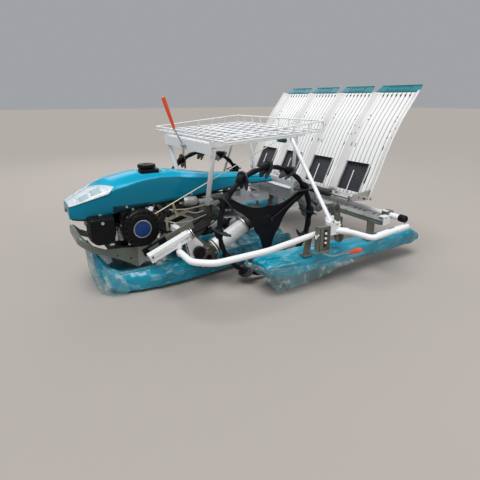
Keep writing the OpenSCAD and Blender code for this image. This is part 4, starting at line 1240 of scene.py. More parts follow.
@dataclass
class GuardPipe:
    """The white pipe round one side of the machine."""

    side: Side
    d: float = 30.0
    z: float = 300.0
    # corners as x, y and height over the pipe's level
    corners: tuple[tuple[float, float, float], ...] = (
        (338, -500, -50), (400, -520, -50), (478, -556, 0), (620, -560, 0), (686, -480, 0), (682, -200, 0),
        (612, 150, 0), (618, 268, 0), (680, 318, 0), (812, 342, 0), (772, 660, 0))

    def build(self) -> None:
        """Makes the pipe as a tube along its rounded corners."""
        form = rounded(self.corners, 34, 8, self.d / 2 - 0.2, 24).moved(z=self.z)
        form.on(self.side).publish(f"side_guard_{self.side.word}", "white_paint", WHITE,
                                   replaces=[f"guard_pipe_{self.side.word}"], edge=40)


@dataclass
class SideGear:
    """What stands round the guard pipes: channel, clamps, sleeves, marker bracket and its wire."""

    z: float = 300.0

    def build(self) -> None:
        """Makes the pieces of both sides."""
        self.channel()
        self.marker()
        self.clamps()

    def channel(self) -> None:
        """The inclined white channel with its grey clamp ring, the slotted plate and the stays behind."""
        a, b = np.array([-654.0, 238.0]), np.array([-446.0, 322.0])
        v = (b - a) / np.linalg.norm(b - a)
        n = np.array([-v[1], v[0]])
        upright = [[-462, 292], [-408, 300], [-362, 250], [-372, 214], [-418, 186], [-444, 196]]
        form = join([
            strip(a, b, 17, 329, 360), strip(a + n * 12, b + n * 12, 9, 325, 366),
            strip(a - n * 16, b - n * 16, 5, 325, 364),
            *(rod((344, *(b + v * start)), (344, *(b + v * end)), r, 32, skin) for r, start, end, skin in (
                (30, -2, 5, 1), (24, 5, 11, 2), (30, 11, 15, 1), (11, 15, 22, 2))),
            bolts([(367, *(a + v * 14 + n * 8))], 0, 5, 3), bolts([(367, *(b - v * 20))], 0, 5, 1),
            plate(upright, 327, 331), strip((-462, 296), (-440, 200), 3, 318, 331),
            turned([[331, 0], [331, 30], [336, 33], [352, 33], [356, 28], [356, 0]], 40,
                   3).moved(0, -392, 216),
            strip((-668, 252), (-548, 300), 20, 294, 300, 3),
            strip((-548, 300), (-402, 356), 20, 294, 300, 4),
            strip((-640, 265), (-590, 285), 7, 300, 301.5, 5),
            boxes((152.4, -470, 296, 325, -440, 326), (152.4, -600, 222, 327, -574, 246, 5)),
            turned([[0, 0], [0, 15], [26, 15], [30, 12], [30, 0]], 28).aimed(2).moved(
                352, -505, self.z - 34)])
        form.both().publish("guard_channels", "white_paint", WHITE, ZINC, DARK_STEEL, BLACK_PLASTIC,
                            ARM_OLIVE, OLIVE, replaces=["guard_brackets"], bevel=1.4)

    def marker(self) -> None:
        """The olive bracket with its slot and white bolts, and the wire with an orange tip."""
        slot = smooth_path([(145, 244), (145, 338), (165, 338), (165, 244), (145, 244)], 9, 4)
        wire = smooth_path([(668, 150, 214), (672, 176, 196), (676, 217, 182), (678, 260, 184),
                            (678, 333, 182)], 18, 5)
        form = join([
            boxes((669.5, 118, 226, 674, 188, 350), (636, 118, 226, 674, 122, 350),
                  (636, 184, 226, 674, 188, 350), (640, 120, 346, 674, 186, 350)),
            # the slot is a dark plate on the bracket's face: painted shade for the opening
            plate(slot, 673, 674.8, 1),
            *(turned([[674, 0], [674, r], [679, r], [681, r * 0.6], [681, 0]], 20, 2).moved(0, 155, z)
              for z, r in ((318, 6.5), (292, 6.5), (268, 5.5))),
            rounded([(645, 115, 308), (652, 113, 288), (667, 115, 314)], 4, 3, 4, 10, 2),
            boxes((640, 112, 220, 684, 196, 226)), tube(wire[:12], 4.0, 12, 3), tube(wire[10:], 2.6, 10, 3),
            tube([[678, 330 + 90 * t, 182 - 4 * t] for t in np.linspace(0, 1, 7)],
                 [5, 9, 11.5, 12.5, 12.5, 11.5, 9], 20, 4)])
        form.both().publish("side_markers", "zinc_steel", ARM_OLIVE, DARK_STEEL, WHITE, ZINC, ORANGE,
                            replaces=["marker_brackets"], bevel=0.8)

    def clamps(self) -> None:
        """Flanged clamps of the rear posts with their knobs, and the sleeves on the pipe's rear end."""
        form = join([
            boxes((588, 226, 300, 596, 284, 372), (598, 232, 344, 640, 278, 348),
                  (632, 228, 282, 638, 290, 350)),
            strip((236, 362), (300, 318), 12, 624, 630),
            bolts([(638, 240, 356), (638, 268, 340), (638, 282, 300)], 0, 7, 1),
            turned([[0, 0], [0, 26], [5, 30], [16, 30], [20, 26], [22, 12], [30, 11], [30, 0]], 36, 2,
                   (range(1, 5), lambda a: 0.04 * (np.sin(a * 7) > 0.3))).moved(612, 305, 259),
            rod((590, 305, 259), (612, 305, 259), 12, 20, 2),
            *(tube([(*a, self.z), (*b, self.z)], r, 28, round_ends=True) for a, b, r in (
                ((622, 274), (672, 316), 18.0), ((801, 400), (790, 486), 17.5),
                ((784, 560), (773, 656), 17.5)))])
        form.both().publish("post_clamps", "white_paint", WHITE, ZINC, DARK_ALLOY, bevel=0.7)


# Floats


@dataclass
class Floats:
    """Three teal floats that are still wrapped in clear film."""

    side_z: float = 85.0

    def wrapped(self, rings: Array, seed: int, depth: float) -> Array:
        """Pushes the rings of a float in and out by the film's folds.

        Args:
            rings: points of the loft.
            seed: seed of the fold's phases.
            depth: depth of the folds in millimetres.

        Returns:
            The rings, moved along their outward direction by a sum of slanting sine folds.
        """
        draw = np.random.default_rng(seed)
        out = rings - rings.mean(axis=1, keepdims=True)
        out[..., 1] = 0
        out /= np.linalg.norm(out, axis=-1, keepdims=True) + 1e-9
        x, y, z = np.moveaxis(rings, -1, 0)
        fold = np.zeros_like(x)
        for _ in range(9):
            kx, ky, kz = draw.uniform(-0.05, 0.05), draw.uniform(0.012, 0.07), draw.uniform(-0.06, 0.06)
            wave = np.sin(kx * x + ky * y + kz * z + draw.uniform(0, 6.28))
            fold += np.sign(wave) * np.abs(wave) ** 1.8
        lift = np.clip(depth * fold / 4.0, -depth, depth * 0.9)
        return rings + out * (lift * (z > 8))[..., None]

    def section(self, y: Array, low: Array, high: Array, inner: Array, outer: Array,
                soft: float) -> Array:
        """Rounded-box sections.

        Args:
            y: places of the sections.
            low: their lower edges.
            high: their upper edges.
            inner: their edges towards the middle of the machine.
            outer: their edges away from it.
            soft: the superellipse's power; the higher, the squarer.

        Returns:
            One ring for each section.
        """
        angle = np.linspace(-np.pi / 2, 1.5 * np.pi, 64, endpoint=False)
        c, s = (np.sign(v) * np.abs(v) ** (2.0 / soft) for v in (np.cos(angle), np.sin(angle)))
        x = ((inner + outer) / 2)[:, None] + ((outer - inner) / 2)[:, None] * c
        z = ((low + high) / 2)[:, None] + ((high - low) / 2)[:, None] * s
        return np.stack([x, np.broadcast_to(y[:, None], x.shape), z], -1)

    def build(self) -> None:
        """Makes the centre float with its raised rim, the side floats and the loose film at their fronts."""
        # columns are y, lower edge, upper edge and half width
        table = ((-868, 150, 218, 112), (-852, 92, 220, 146), (-826, 42, 178, 166), (-795, 18, 134, 178),
                 (-750, 3, 108, 190), (-702, 0, 104, 202), (-560, 0, 104, 226), (-430, 0, 104, 224),
                 (-114, 0, 100, 196), (300, 0, 96, 112), (400, 0, 90, 84), (430, 10, 70, 60))
        y = np.concatenate([np.linspace(-868, -852, 6)[:-1], np.linspace(-852, 400, 160),
                            np.linspace(404, 430, 5)])
        low, high, half = looked_up(table, y).T
        rings = self.section(y, low, high, -half, half, 5.0)
        rim = 15.0 * np.exp(-((np.abs(rings[..., 0]) / half[:, None] - 0.80) / 0.1) ** 2)
        rings[..., 2] += rim * (rings[..., 2] > (low * 0.3 + high * 0.7)[:, None])
        rings = self.wrapped(rings, 3, 4.0)
        rings[..., 2] = np.maximum(rings[..., 2], 0.2)
        lofted(rings).publish("centre_float_wrapped", "float_film", FLOAT_FILM, replaces=["centre_float"],
                              edge=60)
        top = [(0, -870, 212), (64, -870, 212), (112, -860, 202), (152, -842, 180), (184, -804, 146),
               (204, -740, 104)]
        foot = [(0, -846, 2), (80, -846, 2), (128, -836, 2), (172, -806, 2), (196, -768, 3),
                (207, -716, 30)]
        lines = [[(-x, y, z) for x, y, z in line[:0:-1]] + line for line in (top, foot)]
        self.skirt(*lines, 11, 9.0).publish("film_end_centre", "float_film", LOOSE_FILM, raw=True, edge=80)
        for side in Side:
            self.side_float(side)
            self.film(side)

    def side_float(self, side: Side) -> None:
        """One side float, as a smoothed loft with the film's folds.

        Args:
            side: the machine's side.
        """
        # columns are y, lower edge, upper edge, inner edge and outer edge
        table = ((-150, 60, 86, 466, 596), (-120, 26, 96, 454, 612), (-40, 4, 100, 448, 620),
                 (180, 0, 100, 448, 622), (360, 0, 100, 450, 622), (430, 0, 100, 494, 622),
                 (960, 0, 100, 498, 616), (1030, 14, 60, 512, 602))
        y = np.concatenate([np.linspace(-150, -40, 18)[:-1], np.linspace(-40, 960, 120),
                            np.linspace(966, 1030, 10)])
        rings = self.section(y, *smoothed(looked_up(table, y), 2).T, 4.2) + (0, 0, self.side_z)
        lofted(self.wrapped(rings, 8, 3.0)).on(side).publish(
            f"side_float_{side.word}_wrapped", "float_film", FLOAT_FILM,
            replaces=[f"side_float_{side.word}"], edge=60)

    def skirt(self, top: Sequence[Row], foot: Sequence[Row], seed: int, sag: float) -> Form:
        """Slack film between a line on the float and a lower line.

        Args:
            top: corners of the line that lies on the float.
            foot: corners of the film's lower edge, as many.
            seed: seed of the pleats' phases.
            sag: how far the film's middle bellies out.

        Returns:
            A ruled surface between both rounded lines. It bellies by a half sine, and pleats that
            fan out downward are sums of sines along the edge, deeper towards the foot.
        """
        draw = np.random.default_rng(seed)
        at = np.linspace(0, 1, 160)
        given = np.linspace(0, 1, len(top))
        upper, lower = (smoothed(looked_up(np.column_stack([given, line]), at), 5) for line in (top, foot))
        v = np.linspace(0, 1, 22)[:, None, None]
        along = np.gradient(upper, axis=0)
        out = np.stack([along[:, 1], -along[:, 0], 0 * along[:, 0]], -1)
        out /= np.linalg.norm(out, axis=-1, keepdims=True) + 1e-9
        fold = sum(np.sin(at[None, :, None] * draw.uniform(30, 130) + v * draw.uniform(-5, 5)
                          + draw.uniform(0, 6)) for _ in range(5))
        film = upper * (1 - v) + lower * v + out * (sag * np.sin(np.pi * v * 0.9) + fold * (0.5 + 2.2 * v))
        film[..., 2] = np.maximum(film[..., 2], 1.0)
        return sheet(film)

    def film(self, side: Side) -> None:
        """The slack film that hangs from a side float's outer edge and gathers in a corner at its front.

        Args:
            side: the machine's side.
        """
        z = self.side_z
        top = [(452, -110, z + 92), (470, -184, z + 97), (520, -206, z + 101), (560, -196, z + 100),
               (590, -178, z + 96), (606, -160, z + 90), (616, -140, z + 86), (622, -110, z + 82),
               (626, -50, z + 76), (627, 90, z + 60), (627, 250, z + 40), (626, 430, z + 20)]
        foot = [(456, -120, z + 84), (470, -196, z + 88), (520, -216, z + 82), (562, -182, z + 56),
                (582, -132, z + 8), (590, -84, 24), (596, -62, 2), (606, -40, 30),
                (628, -10, 40), (632, 90, 46), (630, 250, 68), (626, 430, z + 6)]
        self.skirt(top, foot, 5, 7.0).on(side).publish(f"film_end_{side.word}", "float_film", LOOSE_FILM,
                                                       raw=True, edge=80)


# Seedling tray


@dataclass
class Tray:
    """The sliding seedling tray: ribbed lanes between ridges, belts in windows, flaps on top."""

    # columns are y and z of the seedling face
    line: tuple[tuple[float, float], ...] = ((549, 424), (580, 497), (612, 560), (655, 660), (697, 745),
                                             (757, 845), (820, 924), (882, 1005))
    pitch: float = 300.0
    half: float = 615.0
    sheet: float = 5.5
    ridge_h: float = 10.0
    side_h: float = 34.0
    window: tuple[float, float, float, float] = (30.0, 208.0, 446.0, 606.0)

    def face(self, x: Array | float, z: Array, lift: Array | float = 0.0) -> Array:
        """Points over the seedling face.

        Args:
            x: places across the tray.
            z: heights along the face.
            lift: distance proud of the face, to the front.

        Returns:
            The points. The line is the table's, smoothed, and the lift is square to it.
        """
        given = np.array(self.line)
        fine = np.linspace(given[0, 1], given[-1, 1], 180)
        line = smoothed(np.interp(fine, given[:, 1], given[:, 0]), 12)
        at, lean = np.interp(z, fine, line), np.interp(z, fine, np.gradient(line, fine))
        length = np.hypot(1, lean)
        y = at - lift / length
        return np.stack([np.broadcast_to(x, y.shape), y, z + lift * lean / length], -1)

    def height(self, x: Array) -> Array:
        """Height of the sheet over the channel's floor: ridges between lanes, and coved sides."""
        off = np.abs((x + self.pitch / 2) % self.pitch - self.pitch / 2)
        ridge = self.ridge_h * np.clip((42 - off) / 24, 0, 1) ** 1.3
        cove = self.side_h * np.clip((np.abs(x) - 556) / (self.half - 556), 0, 1) ** 1.7
        return np.where(np.abs(x) > 540, cove, ridge)

    def grooves(self) -> list[float]:
        """Middles of the grooves between the ribs of all lanes."""
        return [lane * self.pitch + 56 + j * 31.3 for lane in LANES for j in range(7)]

    def columns(self) -> tuple[Array, Array]:
        """Positions across the tray and the sheet's height there."""
        flat = [*np.linspace(-self.half, -554, 9), *np.linspace(554, self.half, 9)]
        flat += [k * self.pitch + dx for k in (-1, 0, 1)
                 for dx in (-45, -38, -30, -22, -16, -8, 0, 8, 16, 22, 30, 38, 45)]
        spots = [(x, 0.0) for x in flat]
        spots += [(middle + dx, depth) for middle in self.grooves()
                  for dx, depth in ((-5.2, 0.0), (-3.6, -3.2), (3.6, -3.2), (5.2, 0.0))]
        spots += [(lane * self.pitch + edge, 0.0) for lane in LANES for edge in self.window[:2]]
        x, depth = np.array(sorted({round(x, 3): depth for x, depth in spots}.items())).T
        return x, self.height(x) + depth

    def build(self) -> None:
        """Makes the sheet and everything that slides with it."""
        self.plate()
        self.belts()
        self.holes()
        self.flaps()
        self.fittings()

    def plate(self) -> None:
        """The sheet as a grid over columns and heights, open at the windows, in three tones by height: white,
        painted shade in grey on ridges and coves, darker painted shade in grooves.
        """
        x, lift = self.columns()
        z = np.unique(np.concatenate([np.linspace(424, 1005, 58), self.window[2:]]))
        fade = np.clip((z - 424) / 14, 0.25, 1)[:, None]
        whole = sheet(self.face(x, z[:, None] + 0 * x[None, :], lift[None, :] * fade))
        middle, level, raised = ((v[:-1] + v[1:]) / 2 for v in (x, z, lift))
        left, right, low, high = self.window
        lane = (middle + 2 * self.pitch) % self.pitch
        opened = np.outer((level > low) & (level < high), (lane > left) & (lane < right)).ravel()
        # painted shade: raised parts grey, groove floors darker
        shade_by_height = np.where(raised > 0.6, 1, np.where(raised < -2.5, 2, 0))
        faces = [face for face, gone in zip(whole.faces, opened) if not gone]
        form = Form(whole.points, faces, np.tile(shade_by_height, len(level))[~opened].tolist())
        form.publish("tray_sheet", "tray_white", TRAY_WHITE, TRAY_RIDGE_SHADE, GROOVE_SHADE, body="tray",
                     replaces=["tray"], wall=self.sheet, edge=50, raw=True)

    def belts(self) -> None:
        """Ribbed belts behind the windows, and the strips at the windows' sides."""
        z = np.linspace(430, 622, 50)
        levels, lifts = np.concatenate([z, z[::-1]]), np.repeat([-self.sheet - 2.0, -self.sheet - 15.0], 50)
        belts, strips = [], []
        for lane in LANES:
            left, right = (lane * self.pitch + edge for edge in self.window[:2])
            belts.append(lofted([self.face(x, levels, lifts) for x in (left - 6, right + 6)]))
            strips += [tube(self.face(x, np.linspace(444, 607, 16), 1.5), 2.6, 6)
                       for x in (left + 5, right - 5)]
        join(belts).publish("feed_belt_faces", "belt_black", BELT, body="tray", replaces=["feed_belts"],
                            edge=60)
        join(strips).publish("window_strips", "zinc_steel", STEEL, body="tray")

    def holes(self) -> None:
        """Painted shade for the sheet's openings: dark toothed shapes at the windows' upper edges, dark slots
        beside them, and dark discs for holes.
        """
        dark = []
        for lane in LANES:
            left, right = (lane * self.pitch + edge for edge in self.window[:2])
            for j in range(8):
                low, x = 590.0 - 5 * ((j * 3) % 2), left + 10 + j * 21
                corners = self.face(x + np.array([0, 13, 11, 2]), np.array([606.0, 606.0, low, low]), -1.0)
                dark.append(Form.of(corners, [(0, 1, 2, 3)]))
            dark.append(tube(self.face(right + 9, np.linspace(500, 596, 8), 1.2), np.linspace(5, 2, 8), 6))
        near = [(dx, dz, 3.4, 4.2) for dx, dz in (
            (-52, 868), (-52, 846), (50, 872), (50, 848), (-52, 792), (-52, 758), (-20, 806), (22, 798),
            (14, 762), (-14, 756))]
        near += [(dx, 700, 3.0, 13) for dx in (-50, 20, 44)]
        spots = [(k * self.pitch + dx, *rest) for k in range(-2, 3) for dx, *rest in near
                 if abs(k * self.pitch + dx) < 596]
        angle = 2 * np.pi * np.arange(12) / 12
        for x, z, across, tall in spots + [(middle, 990, 5.5, 7.0) for middle in self.grooves()]:
            lift = float(self.height(np.array([x]))[0]) + 0.5
            ring = self.face(x + across * np.cos(angle), z + tall * np.sin(angle), lift)
            dark.append(Form.of(ring, [range(12)]))
        join(dark).publish("tray_opening_shade", "black_plastic", BLACK_PLASTIC, body="tray", raw=True)

    def flaps(self) -> None:
        """Four teal extension flaps, tapered, with an embossed field."""
        forms = []
        for x0, x1 in ((-606, -352), (-318, -62), (-22, 250), (286, 592)):
            board = lofted([[[x0, 0, h], [x1, 0, h], [x1 - 14, 60, h], [x0 + 14, 60, h]] for h in (0, 4)])
            forms.append(board + boxes(
                (x0 + 2, 0, 4, x1 - 2, 3, 7), (x0 + 16, 56, 4, x1 - 16, 60, 7),
                (x0 + 70, 14, 3.5, x1 - 70, 17, 6), (x0 + 70, 44, 3.5, x1 - 70, 47, 6),
                (x0 + 70, 14, 3.5, x0 + 73, 47, 6), (x1 - 73, 14, 3.5, x1 - 70, 47, 6)))
        join(forms).turned(0, 38).moved(0, 880, 1006.8).publish(
            "tray_extensions", "teal_shell", TEAL_FLAP, body="tray", replaces=["tray_flaps"], bevel=1.2)

    def fittings(self) -> None:
        """Press rods, and the beads on the sheet's side and lower edges."""
        levels, lifts = np.array([440.0, 444.0, 556.0]), np.array([1.0, 12.0, 14.0])
        middles = [lane * self.pitch + sum(self.window[:2]) / 2 for lane in LANES]
        rods = [tube(smooth_path(self.face(x, levels, lifts), 8, 4), 3.0, 10, round_ends=True)
                for x in middles]
        join(rods).publish("press_rod_wires", "white_paint", WHITE, body="tray", replaces=["press_rods"])
        beads = [tube(self.face(x, np.linspace(426, 1003, 40), self.side_h), 2.4, 8)
                 for x in (-self.half + 1.5, self.half - 1.5)]
        x, lift = self.columns()
        beads.append(tube(self.face(x, np.full_like(x, self.line[0][1] + 2), lift * 0.25 - 2.5), 3.2, 8))
        join(beads).publish("tray_edge_beads", "tray_white", TRAY_WHITE, body="tray")


# Planting gear


@dataclass
class PlantingGear:
    """The silver drive cover, its cases, the feed screw under its boot and the arms' fittings."""

    cover_x: tuple[float, float] = (-200.0, 250.0)
    drive: tuple[float, float] = (312.0, 412.0)
    boot: tuple[float, float, float, float] = (150.0, 440.0, 396.0, 450.0)
    folds: int = 22
    case_x: float = 290.0
    shaft: tuple[float, float] = (440.0, 335.0)
    throw: float = 30.0

    def build(self) -> None:
        """Makes the pieces."""
        self.cover()
        self.cases()
        self.boot_and_screw()
        for side in Side:
            self.arm_fittings(side)

    def cover(self) -> None:
        """A folded, stepped cover with a ribbed round cap, a tube and a filler hole."""
        x0, x1 = self.cover_x
        body = [[262, 384], [262, 450], [264, 453], [276, 466], [288, 497], [292, 500], [338, 500],
                [342, 497], [355, 479], [372, 470], [372, 384]]
        cap = [[249, 0], [249, 46], [256, 46], [260, 43], [262, 36], [266, 35], [266, 12], [268, 10],
               [268, 0]]
        form = join([
            plate(body, x0, x1), plate([[254, 380], [254, 384], [262, 386], [262, 380]], x0, x1),
            plate([[252, 452], [252, 456], [272, 466], [272, 458]], x0 + 6, x1 - 6),
            drum(-290, 290, 26, 40).moved(0, *self.drive),
            turned([[100, 0], [100, 25], [146, 25], [149, 23], [149, 0]], 36).moved(0, *self.boot[2:]),
            boxes((70, 300, 499, 180, 330, 502.5), (76, 304, 502, 174, 326, 504)),
            turned(cap, 48, 1, ((1, 2), lambda a: 0.02 * (np.sin(a * 8) > 0.6))).moved(0, 300, 420),
            bolts([(x0 + 40 + k * 92, 250.5, 418) for k in range(5)], 1, 6.5, 2, outward=-1),
            bolts([(256, *spot) for spot in circle(4, 40, 45, 300, 420)], 0, 5, 2),
            drum(0, 1.2, 9, 20, 3).aimed(2).moved(34, 320, 500)])
        form.publish("planting_drive_cover", "cast_alloy", SHEET, ALLOY, ZINC, BLACK_PLASTIC,
                     replaces=["planting_cover"], bevel=1.4)

    def cases(self) -> None:
        """Flange rings and bolts of the cast cases, along the line from the drive to the planting shaft."""
        forms = []
        for y, z, r in ((*self.drive, 30), (*self.shaft, 25)):
            ring = turned([[0, 11], [0, r], [5, r], [7, r - 3], [7, 13], [5, 11]], 36)
            forms += [ring.moved(self.case_x + 22, y, z), ring.turned(2, 180).moved(self.case_x - 22, y, z)]
        a, b = np.array(self.drive), np.array(self.shaft)
        for y, z in (a + (b - a) * t for t in (0.25, 0.5, 0.75)):
            x = self.case_x + 22
            forms.append(bolts([(x, y + 26, z + 26), (x, y - 24, z - 26)], 0, 5))
        join(forms).both().publish("case_flanges", "cast_alloy", ALLOY, bevel=0.8)

    def boot_and_screw(self) -> None:
        """The accordion boot and the nuts of the plated feed rod."""
        x0, x1, y, z = self.boot
        pitch = (x1 - x0 - 24) / self.folds
        rows = [[x0, 9.0], [x0, 24], [x0 + 10, 24], [x0 + 12, 18]]
        rows += [[x0 + 12 + (k + part) * pitch, r] for k in range(self.folds)
                 for part, r in ((0.25, 17.2), (0.5, 21.6), (0.75, 21.2), (1.0, 17))]
        rows += [[x1 - 11, 20], [x1 - 2, 20], [x1, 18], [x1, 9.0]]
        turned(rows, 36).moved(0, y, z).publish("feed_screw_boot", "rubber_black", GRIP,
                                                replaces=["feed_boot"], edge=50)
        nuts = (hexagon((583, 0, 0), 26, 6) + hexagon((605, 0, 0), 26, 12) + drum(589, 591, 17, 24)
                + bolts([(604.5, 60, 4)], 0, 8))
        nuts.moved(0, y, z).publish("feed_rod_nuts", "zinc_steel", ZINC, body="tray", bevel=0.6)

    def arm_fittings(self, side: Side) -> None:
        """Covers, bolts and springs on the planting arms of one side.

        Args:
            side: the machine's side.
        """
        parts = [turned([[0, 0], [0, 19], [3, 19], [5, 16], [5, 0]], 32).moved(34),
                 bolts([(34, 2, -40), (34, 26, -84), (34, 36, -122)], 0, 4.6, 1),
                 drum(0, 46, 9, 24).aimed(2).moved(17, 56, -118)]
        one = join(parts).moved(0, self.shaft[0], self.shaft[1] + self.throw)
        (one.moved(130.0) + one.moved(426.0)).on(side).publish(
            f"arm_fittings_{side.word}", "grey_cast", IRON, ZINC, body=f"arms_{side.word}", bevel=0.7)


@dataclass
class RearRail:
    """The low guide rail under the tray, the round tube behind it and the bracket on the feed rod."""

    half: float = 700.0
    tube_at: tuple[float, float] = (630.0, 345.0)

    def build(self) -> None:
        """Makes the three pieces."""
        self.rail()
        self.pipe()
        self.bracket()

    def rail(self) -> None:
        """The rail with its slots, bolts and notched ends."""
        x = self.half
        flag = [[552, 300], [552, 348], [570, 336], [606, 352], [610, 304]]
        form = join([
            boxes((-x, 556, 300, x, 561, 344), (-x, 556, 339, x, 600, 344), (-x, 556, 300, x, 608, 305),
                  (20 - x, 549, 298, x - 20, 556, 312, 1),
                  # the dark bars on the rail's top are painted shade for its slots
                  *((k * 36 - 8, 566, 343.4, k * 36 + 8, 592, 344.6, 2 if k % 4 else 3)
                    for k in range(-18, 19))),
            bolts([(at, 556, 326) for at in (-560, -420, -300, -180, -60, 60, 180, 300, 420, 560)], 1, 5, 3,
                  outward=-1),
            (plate(flag, x - 2, x + 2, 4) + boxes((664, 552, 344, 702, 606, 348, 4))).both()])
        form.publish("guide_rail_channel", "cast_alloy", SHEET, OLIVE, DARK_STEEL, ZINC, WHITE,
                     replaces=["guide_rail"], bevel=0.8)

    def pipe(self) -> None:
        """The capped tube with its clamps and lugs."""
        y, z = self.tube_at
        cap = turned([[744, 0], [744, 20], [778, 20], [783, 17], [783, 13], [779, 12], [779, 0]], 36, 1)
        ends = join([cap.moved(0, y, z),
                     boxes((640, 606, 322, 684, 652, 368, 2), (645, 598, 366, 679, 616, 372)),
                     bolts([(684, 622, 352), (684, 640, 334)], 0, 6, 3),
                     boxes((140, 561, 318, 160, 628, 334), (640, 561, 318, 660, 628, 334))])
        (rod((-752, y, z), (752, y, z), 16, 28) + ends.both()).publish(
            "rear_tube", "zinc_steel", WHITE, BLACK_PLASTIC, ARM_OLIVE, ZINC, replaces=["end_tube"],
            bevel=0.9)

    def bracket(self) -> None:
        """The folded bracket on the feed rod."""
        upper = [[384, 462], [402, 476], [440, 470], [536, 440], [545, 425]]
        form = join([plate([*upper, [500, 425], [384, 436]], 590, 593),
                     plate([*upper, [530, 432], [436, 462], [400, 468]], 590, 606),
                     bolts([(593, 470, 446), (593, 505, 436)], 0, 7, 1),
                     turned([[593, 0], [593, 15], [600, 15], [602, 12], [602, 0]], 24, 1).moved(0, 396, 450)])
        form.publish("feed_bracket", "zinc_steel", SHEET, DARK_STEEL, body="tray", bevel=0.8)


@dataclass
class StarterRope:
    """The starter's taut rope and its ribbed grip, which hooks under the rack."""

    start: tuple[float, float, float] = (185.0, -559.2, 408.0)
    end: tuple[float, float, float] = (232.0, 176.0, 746.6)
    d: float = 5.0

    def build(self) -> None:
        line = np.linspace(self.start, self.end, 24)
        rope = tube(line, self.d / 2, 10).publish("starter_pull_rope", "zinc_steel", ROPE,
                                                  replaces=["starter_rope"])
        grip = turned([[-10, 0], [-10, 9], [-6, 12], [0, 12.6], [54, 12.6], [60, 12], [64, 9], [64, 0]], 32,
                      flute=((3, 4), lambda a: 0.04 * np.sin(a * 12)))
        grip = grip.moved(*self.end).publish("starter_grip", "black_plastic", TEAL_GRIP)


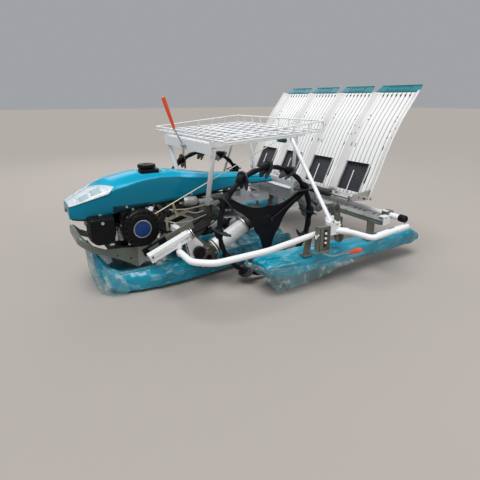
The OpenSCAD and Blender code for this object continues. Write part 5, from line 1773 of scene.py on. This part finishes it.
@dataclass
class Driveline:
    """Clutter between the bonnet and the centre float: shift levers, links, pulleys, hoses and covers."""

    pulley: tuple[float, float] = (-399.0, 324.0)

    def build(self) -> None:
        """Makes the levers and links, the covers and the hoses of the left side, and the belt side."""
        self.links()
        self.covers()
        hoses = [rounded(path, 60, 8, r, 12) for r, path in (
            (6, [(120, -540, 420), (150, -470, 380), (140, -420, 420), (110, -300, 448), (80, -150, 450)]),
            (4.5, [(100, -560, 436), (140, -480, 446), (120, -330, 460), (90, -120, 452), (60, 20, 440)]),
            (5, [(150, -520, 300), (170, -440, 280), (150, -330, 300), (120, -240, 340)]),
            (4, [(60, -500, 240), (140, -420, 250), (170, -300, 262), (130, -180, 300)]),
            (7, [(170, -560, 330), (160, -500, 290), (110, -450, 262), (60, -420, 250)]))]
        join(hoses).both().publish("hoses", "black_plastic", BLACK_PLASTIC)

    def links(self) -> None:
        """Flat levers with a bolt at each end, bent links, and a coil spring."""
        forms = []
        for a, b, half, x in (((-496, 352), (-369, 388), 9, 150), ((-452, 441), (-433, 372), 7, 158),
                              ((-452, 396), (-341, 340), 6, 142), ((-300, 436), (-180, 392), 8, 120),
                              ((-400, 430), (-250, 424), 6, 132), ((-488, 302), (-492, 366), 6, 156)):
            forms += [strip(a, b, half, x, x + 6), bolts([(x + 6, *a), (x + 6, *b)], 0, 7, 1)]
        forms += [rounded(path, 30, 5, 3.4, 10, 1) for path in (
            [(164, -496, 352), (172, -430, 330), (168, -341, 335), (160, -260, 352)],
            [(150, -470, 408), (168, -380, 400), (160, -240, 412), (120, -60, 424)],
            [(166, -369, 388), (176, -330, 372), (168, -280, 380)])]
        t = np.linspace(0, 60, 160)
        coil = np.column_stack([158 + 5 * np.cos(t), -430 + 3.1 * t / 1.2, 400 + 5 * np.sin(t)])
        forms.append(tube(coil, 1.0, 6, 1))
        join(forms).publish("shift_links", "zinc_steel", YELLOW_ZINC, ZINC, bevel=0.7)

    def covers(self) -> None:
        """Pulley, clutch cover, cases, silver canisters, deck strips, ribs and bolts."""
        y, z = self.pulley
        form = join([
            turned([[112, 0], [112, 44], [118, 48], [124, 48], [124, 40], [120, 36], [122, 24], [132, 22],
                    [134, 0]], 44).moved(0, y, z),
            turned([[78, 0], [78, 58], [98, 58], [104, 52], [106, 30], [112, 28], [112, 0]], 44,
                   1).moved(0, y, z),
            turned([[78, 0], [78, 34], [116, 34], [120, 28], [120, 0]], 36, 1).moved(0, -250, 380),
            turned([[0, 0], [0, 23], [8, 26], [62, 26], [70, 22], [70, 0]], 36,
                   2).turned(2, 78).moved(132, -378, 436),
            turned([[0, 0], [0, 19], [80, 19], [84, 14], [84, 0]], 32, 2).aimed(1).moved(128, -290, 418),
            strip((-190, 376), (-10, 352), 3, 90, 206, 3), strip((-190, 340), (-10, 316), 3, 96, 222, 3),
            strip((-186, 358), (-14, 334), 18, 88, 92, 3),
            boxes((90, -250, 402, 150, -60, 406, 3)),
            *(part for k, spot in enumerate(circle(6, 51, 12, y, z)) for part in (
                bolts([(104, *spot)], 0, 5.5, 4),
                boxes((79, -460 + k * 12, 398, 108, -456 + k * 12, 430, 1)))),
            bolts([(100 + 22 * k, -186, 379) for k in range(5)], 2, 5, 4)])
        form.publish("driveline_covers", "cast_alloy", DARK_STEEL, DARK_ALLOY, ALLOY, SHEET, ZINC, bevel=1.0)


# Dress of the CAD pieces that keep their own shape


@dataclass(frozen=True)
class Dress:
    """Finish and edge rounding for CAD nodes."""

    nodes: tuple[str, ...]
    finish: Finish
    edge: float = 1.5

    def apply(self, found: dict[str, bpy.types.Object]) -> None:
        """Gives every node its finish.

        Args:
            found: the frame's nodes by name.
        """
        for name in self.nodes:
            piece = found[name]
            piece.data.materials.clear()
            piece.data.materials.append(self.finish.material())
            soften(piece, self.edge, weld=True)


DRESSES = (
    Dress(("engine_block",), BLACK_PAINT, 3.0),
    Dress(("muffler",), HOT_STEEL, 3.0),
    Dress(("bumper",), OLIVE, 1.2),
    Dress(("frame_plates",), PLATES, 1.2),
    Dress(("gearbox",), DARK_ALLOY, 3.0),
    Dress(("planting_cases",), ALLOY, 3.0),
    Dress(("main_beam", "rack_frame", "tray_support", "handle_frame"), WHITE, 1.6),
    Dress(("rack_posts",), WHITE, 0.8),
    Dress(("feed_rod",), ZINC, 0.8),
    Dress(("float_links",), ARM_OLIVE, 1.0),
    Dress(("handle_grips",), GRIP, 2.0),
    Dress(("control_box",), BLACK_PLASTIC, 2.0),
    Dress(("planting_crank_left", "planting_crank_right"), STEEL, 0.8),
    Dress(("planting_arms_left", "planting_arms_right"), ARM_OLIVE, 2.0),
)


def main() -> None:
    """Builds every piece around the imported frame."""
    logging.basicConfig(level=logging.INFO, format="%(name)s %(message)s")
    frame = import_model()
    for dress in DRESSES:
        dress.apply(frame["nodes"])
    Studio().build()
    Bonnet().build()
    Engine().build()
    for side in Side:
        Wheel(side).build()
        SwingArm(side).build()
        GuardPipe(side).build()
    Rack().build()
    SideGear().build()
    Driveline().build()
    StarterRope().build()
    RearRail().build()
    Floats().build()
    Tray().build()
    PlantingGear().build()


if __name__ == "__main__":
    main()
